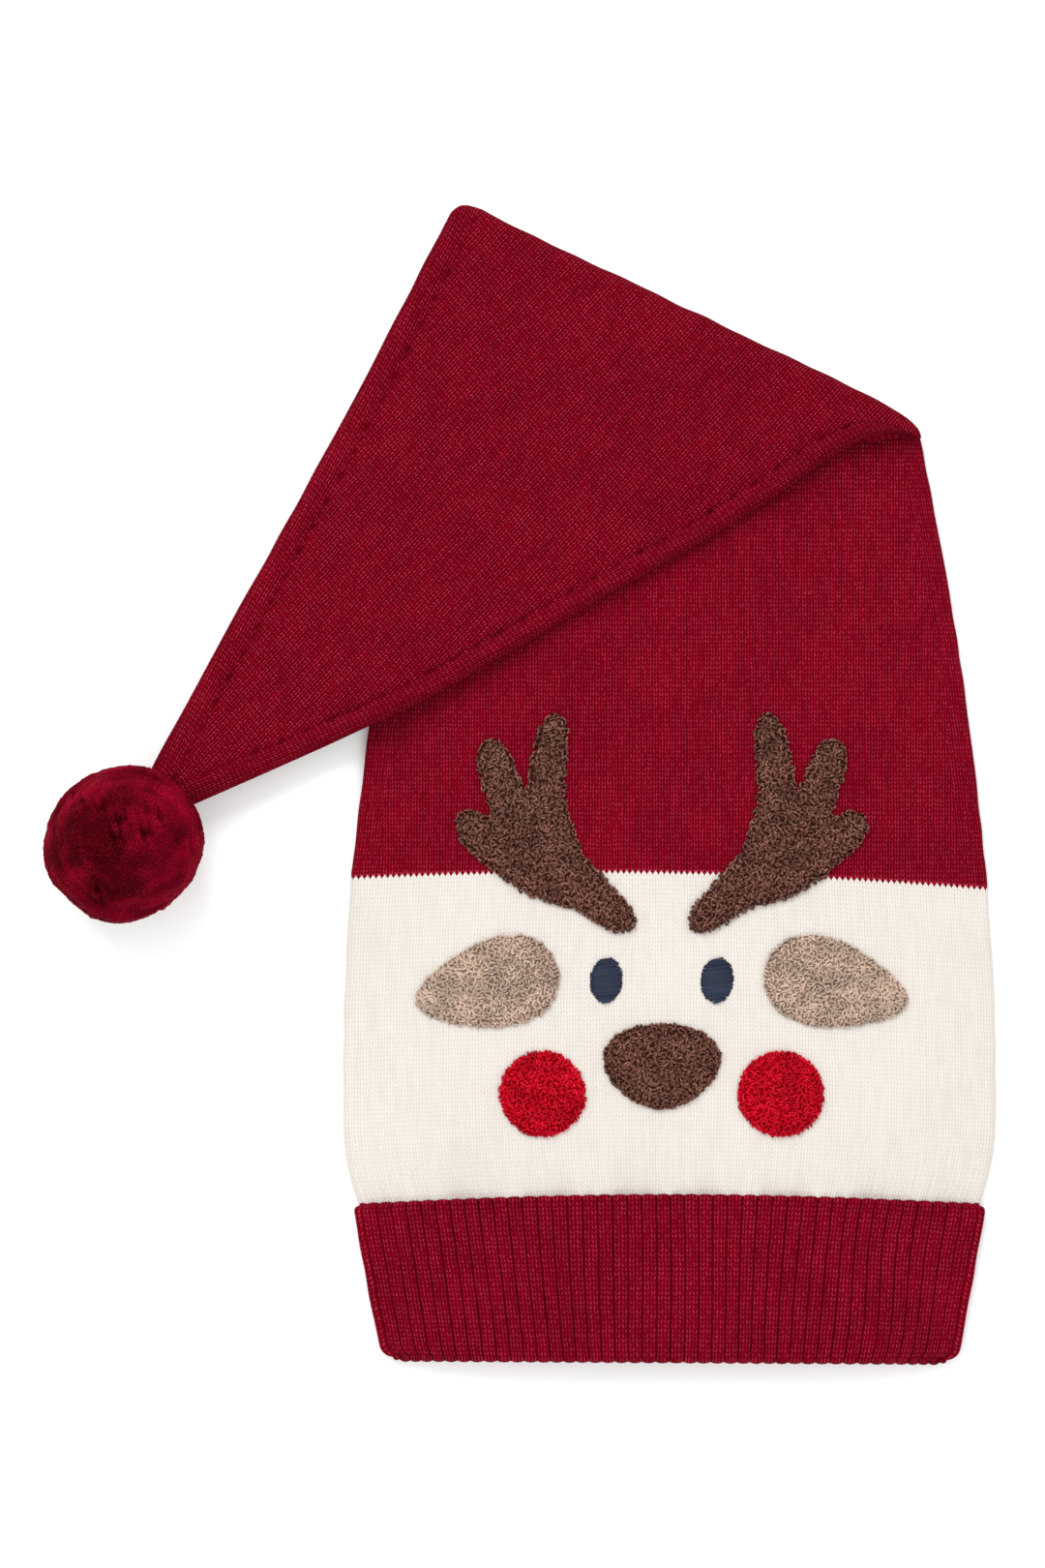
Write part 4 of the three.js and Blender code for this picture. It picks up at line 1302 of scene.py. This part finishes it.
def antler_cushion(side):
    """The cushion: a fine sheet of squares over the antler, closed below."""
    step = 1.0
    xs = antler_middle(side) + np.arange(-ANTLER_REACH, ANTLER_REACH + 1) * step
    ys = np.arange(ANTLER_FOOT[1] - 10, ANTLER_FOOT[1] + ANTLER_HEIGHT + 10, step)
    gx, gy = np.meshgrid(xs, ys)
    out, _ = antler_out(gx.ravel(), gy.ravel(), side)
    out = out.reshape(gx.shape)
    inside = out < CUSHION_EDGE
    cells = inside[:-1, :-1] & inside[1:, :-1] & inside[:-1, 1:] & inside[1:, 1:]
    number = np.full(gx.shape, -1)
    used = np.zeros_like(inside)
    for dy in (0, 1):
        for dx in (0, 1):
            used[dy : dy + cells.shape[0], dx : dx + cells.shape[1]] |= cells
    number[used] = np.arange(used.sum())
    top = body_top(gx[used], gy[used]) + JOIN_GAP
    low = np.stack([gx[used], gy[used], top], axis=-1)
    high = low + np.array([0, 0, 1.0]) * np.maximum(dome(out[used]), 0.15)[:, None]
    count = len(low)
    rows, cols = np.nonzero(cells)
    corners = [number[rows + a, cols + b] for a, b in ((0, 0), (0, 1), (1, 1), (1, 0))]
    quads = np.stack(corners, axis=1)
    faces = (quads + count).tolist() + quads[:, ::-1].tolist()
    edges = [pair for face in quads.tolist() for pair in zip(face, face[1:] + face[:1])]
    known = set(edges)
    faces += [[a, b, b + count, a + count] for a, b in edges if (b, a) not in known]
    return np.concatenate([low, high]), faces


def make_antler(name, side):
    """An antler: loops on a staggered grid, wherever they fall inside its limbs."""
    across, up = np.meshgrid(np.arange(-ANTLER_REACH, ANTLER_REACH, 1.12), np.arange(-9, 84, 0.97))
    x = (across + 0.5 * (np.arange(across.shape[0]) % 2)[:, None]).ravel()
    x, y = jittered(antler_middle(side) + x, ANTLER_FOOT[1] + up.ravel())
    out, lean = antler_out(x, y, side)
    keep = out < LOOP_EDGE
    loops = loops_at(x[keep], y[keep], out[keep], lean[keep])
    return make_pile(name, antler_cushion(side), loops, brown_pile)


antlers = {s: make_antler(f"antler_{s}_pile", k) for s, k in SIDES}
print("An antler has", len(antlers["left"].data.polygons), "faces")

# %% [markdown]
# ## Satin-stitched eyes
#
# An eye is embroidered with smooth thread, laid side by side from edge to edge over a low filling. The
# threads are modelled one by one, as thin arched tubes, because their glossy ridges are what makes
# satin stitch look like satin stitch.

# %% Eyes
EYE = {"out": 20, "up": 22, "length": 12, "width": 16.5, "tilt": 0.0, "narrow": 0.0}
THREAD_PITCH, THREAD_RADIUS, SATIN_RISE = 0.62, 0.36, 1.2
THREAD_SIDES, THREAD_RINGS = 5, 11


def satin_threads(side):
    """Arched threads across an eye, each a closed tube."""
    each = THREAD_SIDES * THREAD_RINGS
    rows = np.arange(-EYE["width"] / 2 + 0.3, EYE["width"] / 2 - 0.1, THREAD_PITCH)
    ring = np.linspace(0, 2 * math.pi, THREAD_SIDES, endpoint=False)
    points, faces, numbers = [], [], []
    for number, row in enumerate(rows):
        half = EYE["length"] / 2 * math.sqrt(max(0.02, 1 - (2 * row / EYE["width"]) ** 2))
        half += chance_of.uniform(-0.25, 0.25)
        slant = chance_of.normal(0, 0.12)
        share = np.linspace(-1, 1, THREAD_RINGS)
        x = FACE_X + side * EYE["out"] + share * half
        y = EYE["up"] + row + slant * share + 0.10 * share * half
        arch = (SATIN_RISE - THREAD_RADIUS) * np.sqrt(np.clip(1 - share**2, 0, 1))
        z = body_top(x, y) + arch + chance_of.uniform(0, 0.12)
        thin = THREAD_RADIUS * (0.75 + 0.25 * np.sqrt(np.clip(1 - share**4, 0, 1)))
        for i in range(THREAD_RINGS):
            points += [(x[i], y[i] + thin[i] * math.cos(a), z[i] + thin[i] * math.sin(a)) for a in ring]
        starts = [number * each + THREAD_SIDES * i for i in range(THREAD_RINGS)]
        last = starts[-1] + THREAD_SIDES - 1
        faces += quads_between(starts, THREAD_SIDES)
        faces.append(list(range(starts[0], starts[0] + THREAD_SIDES)))
        faces.append(list(range(last, last - THREAD_SIDES, -1)))
        numbers += [number] * each
    return np.array(points), faces, np.array(numbers)


navy_satin, w, shader = new_material("navy_satin")
navy = w.colour(w.named_value("shade"), cloth(0.004, 0.008, 0.023), cloth(0.016, 0.026, 0.062))
w.join(navy, shader.inputs["Base Color"])
ply = w.noise(w.place(), 4200.0, 1.0)
w.join(w.ramp(ply, 0.2, 0.8, 0.34, 0.52), shader.inputs["Roughness"])
w.join(w.bump(ply, 0.05), shader.inputs["Normal"])
shader.inputs["Specular IOR Level"].default_value = 0.25


def make_eye(name, side):
    """An eye: a low filling under its threads."""
    outs = [(0.5, 0.0), (0.9, 0.0), (0.88, 0.3), (0.6, 0.75), (0.3, 0.85)]
    base = dome_rings(lambda turn, out: patch_place(EYE, side, turn, out), outs, 28)
    points, faces, numbers = satin_threads(side)
    all_points, all_faces = add_shapes(base, (points, faces))
    shades = chance_of.uniform(0, 1, numbers.max() + 1)[numbers]
    marks = {"shade": np.concatenate([np.zeros(len(base[0])), shades])}
    piece = write_mesh(name, all_points, all_faces, marks=marks)
    piece.data.materials.append(navy_satin)
    return piece


eyes = {s: make_eye(f"eye_{s}_satin", k) for s, k in SIDES}
print("An eye has", len(eyes["left"].data.polygons), "faces")

# %% [markdown]
# ## The pompom
#
# A pompom is thousands of cut yarn ends that point away from its middle, so dense that it looks like
# velvet. One lock is modelled, a thin bar that widens to its cut end, and is copied over a ball
# in the even spread of a sunflower's seeds. The ball was trimmed by hand, so it is a little lumpy, and
# here and there the ends part and leave a small dark hollow. A ball with the same lumps and hollows
# lies just below the ends. The pile is pressed flat where it rests.

# %% One lock
POMPOM_RADIUS, POMPOM_PRESSED, POMPOM_SINK, POMPOM_SIDE = 28.5, 1.0, 0.92, 3.6
LOCK_COUNT, LOCK_LENGTH, HOLLOW_COUNT = 22000, 4.0, 26
TRIM_TURN = [-15, 0, 15, 75, 90, 120, 150, 180, 195, 210, 225, 240, 255, 270, 285, 315, 330, 345]
TRIM = [0.6, 2.0, 2.3, 0.6, -0.3, -1.2, -1.4, -0.3, 0.8, 0.8, -0.5, 0.2, 1.4, 1.0, 0.3, 0.0, 0.8, 0.6]
PATCH_SCALE, TUFT_SCALE = 1.6, 3.7
PILE_TRIM, LUMP_HEIGHT, TUFT_HEIGHT = 0.9, 0.4, 0.3
DEEP_HOLLOWS = [(1, 9), (-6, 14), (-1, 2.5), (10.5, 4), (16, 10), (-8, -17)]


def model_lock():
    """A bar of cut pile, of unit length, standing on its root."""
    bpy.ops.object.select_all(action="DESELECT")
    bpy.ops.mesh.primitive_cone_add(
        vertices=3, radius1=0.3, radius2=0.75, depth=1.0, location=(0, 0, 0.5),
    )
    lock = bpy.context.object
    bpy.ops.object.transform_apply(location=True, rotation=False, scale=False)
    return lock


lock_points, lock_faces = take_shape(model_lock())
pompom_centre = np.array([
    *(tail_tip + tail_way * POMPOM_RADIUS * POMPOM_SINK - tail_left_way * POMPOM_SIDE),
    POMPOM_RADIUS - POMPOM_PRESSED,
])
print("The pompom's middle is at", pompom_centre.round(1), "mm")

# %% Where the locks stand


def seeds_on_ball(count):
    """Evenly spread ways out from a ball's middle."""
    number = np.arange(count)
    up = 1 - 2 * (number + 0.5) / count
    around = golden_turns(number)
    flat = np.sqrt(1 - up**2)
    return np.stack([flat * np.cos(around), flat * np.sin(around), up], axis=-1)


def unit(ways):
    """The same ways, each of length one."""
    return ways / np.linalg.norm(ways, axis=-1, keepdims=True)


LUMP_WAVES = unit(chance_of.normal(0, 1, (8, 3))) * np.array([2, 2.6, 3.3, 4, 5, 6, 9, 11])[:, None]
LUMP_STARTS = chance_of.uniform(0, 2 * math.pi, 8)
deep_place = np.array(DEEP_HOLLOWS) / POMPOM_RADIUS
deep_way = np.column_stack([deep_place, np.sqrt(1 - (deep_place**2).sum(axis=1))])
hollow_way = unit(seeds_on_ball(HOLLOW_COUNT) + chance_of.normal(0, 0.2, (HOLLOW_COUNT, 3)))
hollow_way = np.concatenate([hollow_way, deep_way])
shallow = chance_of.uniform(0.4, 2.0, HOLLOW_COUNT)
deep = chance_of.uniform(2.6, 4.0, len(deep_way))
hollow_depth = np.append(shallow, deep)
hollow_size = chance_of.uniform(1.4, 2.6, len(hollow_way))


def lumps(way):
    """A slow uneven field over the ball, about -1 to 1, and the way it slopes."""
    turns = way @ LUMP_WAVES.T + LUMP_STARTS
    return np.sin(turns).sum(axis=1) / 3, np.cos(turns) @ LUMP_WAVES / 12


def hollows(way):
    """How deep the pile parts in each way."""
    apart = np.arccos(np.clip(way @ hollow_way.T, -1, 1)) * POMPOM_RADIUS
    apart = apart * (1 + 0.35 * np.sin(5 * way[:, :1] * POMPOM_RADIUS / 3 + way[:, 1:2] * 14))
    return (hollow_depth * np.exp(-((apart / hollow_size) ** 2))).sum(axis=1)


def pile_reach(way):
    """How far the pile reaches in each way."""
    turn = np.degrees(np.arctan2(way[:, 1], way[:, 0]))
    trim = np.interp(turn, TRIM_TURN, TRIM, period=360) * (1 - way[:, 2] ** 2) ** 2
    tufts = TUFT_HEIGHT * lumps(way * TUFT_SCALE)[0]
    return POMPOM_RADIUS - PILE_TRIM + LUMP_HEIGHT * lumps(way)[0] + tufts + trim - hollows(way)


def pile_shade(way):
    """How light the pile's ends are, from 0 to 1.

    They get a painted highlight to the right, round the rim and on the raised tufts, and painted
    shade where the pile parts.
    """
    # painted highlight round the rim and to the right, painted shade in the hollows
    rim = 0.32 * smooth(1 - np.abs(way[:, 2]), 0.15, 0.95)
    patches = 0.34 * lumps(way * PATCH_SCALE)[0] + 0.20 * lumps(way * TUFT_SCALE)[0] - 0.26 * hollows(way)
    return np.clip(0.27 + 0.26 * way[:, 0] + rim + patches, 0, 1)


way = unit(seeds_on_ball(LOCK_COUNT) + chance_of.normal(0, 0.009, (LOCK_COUNT, 3)))
reach = pile_reach(way) + chance_of.normal(0, 0.10, LOCK_COUNT)
slope = lumps(way)[1]
lean = unit(way + 0.4 * slope + chance_of.normal(0, 0.06, way.shape))
tips = way * reach[:, None]
roots = tips - lean * LOCK_LENGTH
print("Hollows are up to", round(float(POMPOM_RADIUS - reach.min()), 1), "mm deep")

# %% The locks, kept clear of the tail
# how far past the tail's tip its slot goes in, and how far the ball is set back there
SLOT_REACH, SLOT_DEPTH = 9.0, 11.0
# how far in the pile its painted shade is deepest, and over what distance it grows light from there
DARK_DEPTH, DARK_FADE = 5.5, 4.5
# lowest heights of the locks and the ball, how far the ball lies below the ends, and its own depth
LOCK_LIFT, BALL_LIFT, BALL_BELOW, BALL_DEPTH = 0.05, 0.3, 0.4, 0.9


def in_the_way(places, room):
    """Whether places round the pompom's middle lie where the tail's end goes in."""
    from_tip = places[:, :2] + pompom_centre[:2] - tail_tip
    across = np.abs(from_tip @ tail_left_way)
    level = np.abs(places[:, 2] + pompom_centre[2] - TIP_HEIGHT - TIP_LOFT / 2)
    beside = (across < TIP_WIDTH / 2 + room) & (level < TIP_LOFT / 2 + room)
    return (from_tip @ tail_way < SLOT_REACH) & beside


clear = ~in_the_way(tips, 0.8)
tips, roots, lean = tips[clear], roots[clear], lean[clear]
side_way = unit(np.cross(lean, chance_of.normal(0, 1, lean.shape)))
thickness = chance_of.uniform(0.85, 1.2, len(tips))[:, None]
other_way = np.cross(lean, side_way)
matrices = np.stack([side_way * thickness, other_way * thickness, lean * LOCK_LENGTH], axis=-1)
points, faces, numbers, depth = copies(lock_points, lock_faces, matrices, roots, np.ones(len(tips)))
depth = np.clip((np.linalg.norm(points, axis=1) - POMPOM_RADIUS + DARK_DEPTH) / DARK_FADE, 0.02, 1)
lock_shade = np.clip(pile_shade(way[clear]) + chance_of.normal(0, 0.1, len(tips)), 0, 1)
points = points + pompom_centre
points[:, 2] = np.maximum(points[:, 2], LOCK_LIFT)
print(len(tips), "of", LOCK_COUNT, "locks stand clear of the tail")

# %% The ball under the pile
bpy.ops.object.select_all(action="DESELECT")
bpy.ops.mesh.primitive_ico_sphere_add(subdivisions=5, radius=1.0)
ball_way, ball_faces = take_shape(bpy.context.object)
ball_way = unit(ball_way)
ball_reach = pile_reach(ball_way) - BALL_BELOW
recessed = in_the_way(ball_way * POMPOM_RADIUS, 1.0)
ball_reach = np.where(recessed, POMPOM_RADIUS - SLOT_DEPTH, ball_reach)
ball_points = ball_way * ball_reach[:, None] + pompom_centre
ball_points[:, 2] = np.maximum(ball_points[:, 2], BALL_LIFT)
pompom = make_pile(
    "pompom_pile", (ball_points, ball_faces), (points, faces, numbers, depth), wine_pile,
    shade_of_each=lock_shade, base_depth=BALL_DEPTH, base_shade=pile_shade(ball_way),
)
print("The pompom has", len(pompom.data.polygons), "faces in", len(tips), "locks")

# %% [markdown]
# ## The floor's finish
#
# The floor is plain pale paper. A trace of tooth in its roughness keeps it from looking like plastic.

# %% Paper
paper, w, shader = new_material("pale_paper")
grain = w.noise(w.place(), 60.0, 4.0)
shader.inputs["Base Color"].default_value = cloth(0.93, 0.93, 0.93)
w.join(w.ramp(grain, 0.3, 0.7, 0.85, 0.95), shader.inputs["Roughness"])
shader.inputs["Specular IOR Level"].default_value = 0.1
floor.data.materials.append(paper)
print("The floor's material is", paper.name)

# %% [markdown]
# ## Each piece and the solid it stands for
#
# Each visible piece stands for a solid of the imported model and rides on its one body. The solid
# it stands for is hidden. The three knitted tubes are sheets of cloth.

# %% Pieces and the solids they stand for
stands_for = {
    "crown": crown,
    "face_band": band,
    "rib_cuff": cuff,
    "pompom": pompom,
    "nose": nose,
    **{f"antler_{side}": piece for side, piece in antlers.items()},
    **{f"ear_{side}": piece for side, piece in ears.items()},
    **{f"eye_{side}": piece for side, piece in eyes.items()},
    **{f"cheek_{side}": piece for side, piece in cheeks.items()},
}
for node, piece in stands_for.items():
    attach(piece, "root")
    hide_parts(node)
faces_in_all = sum(len(piece.data.polygons) for piece in stands_for.values())
print(len(stands_for), "pieces,", faces_in_all, "faces")
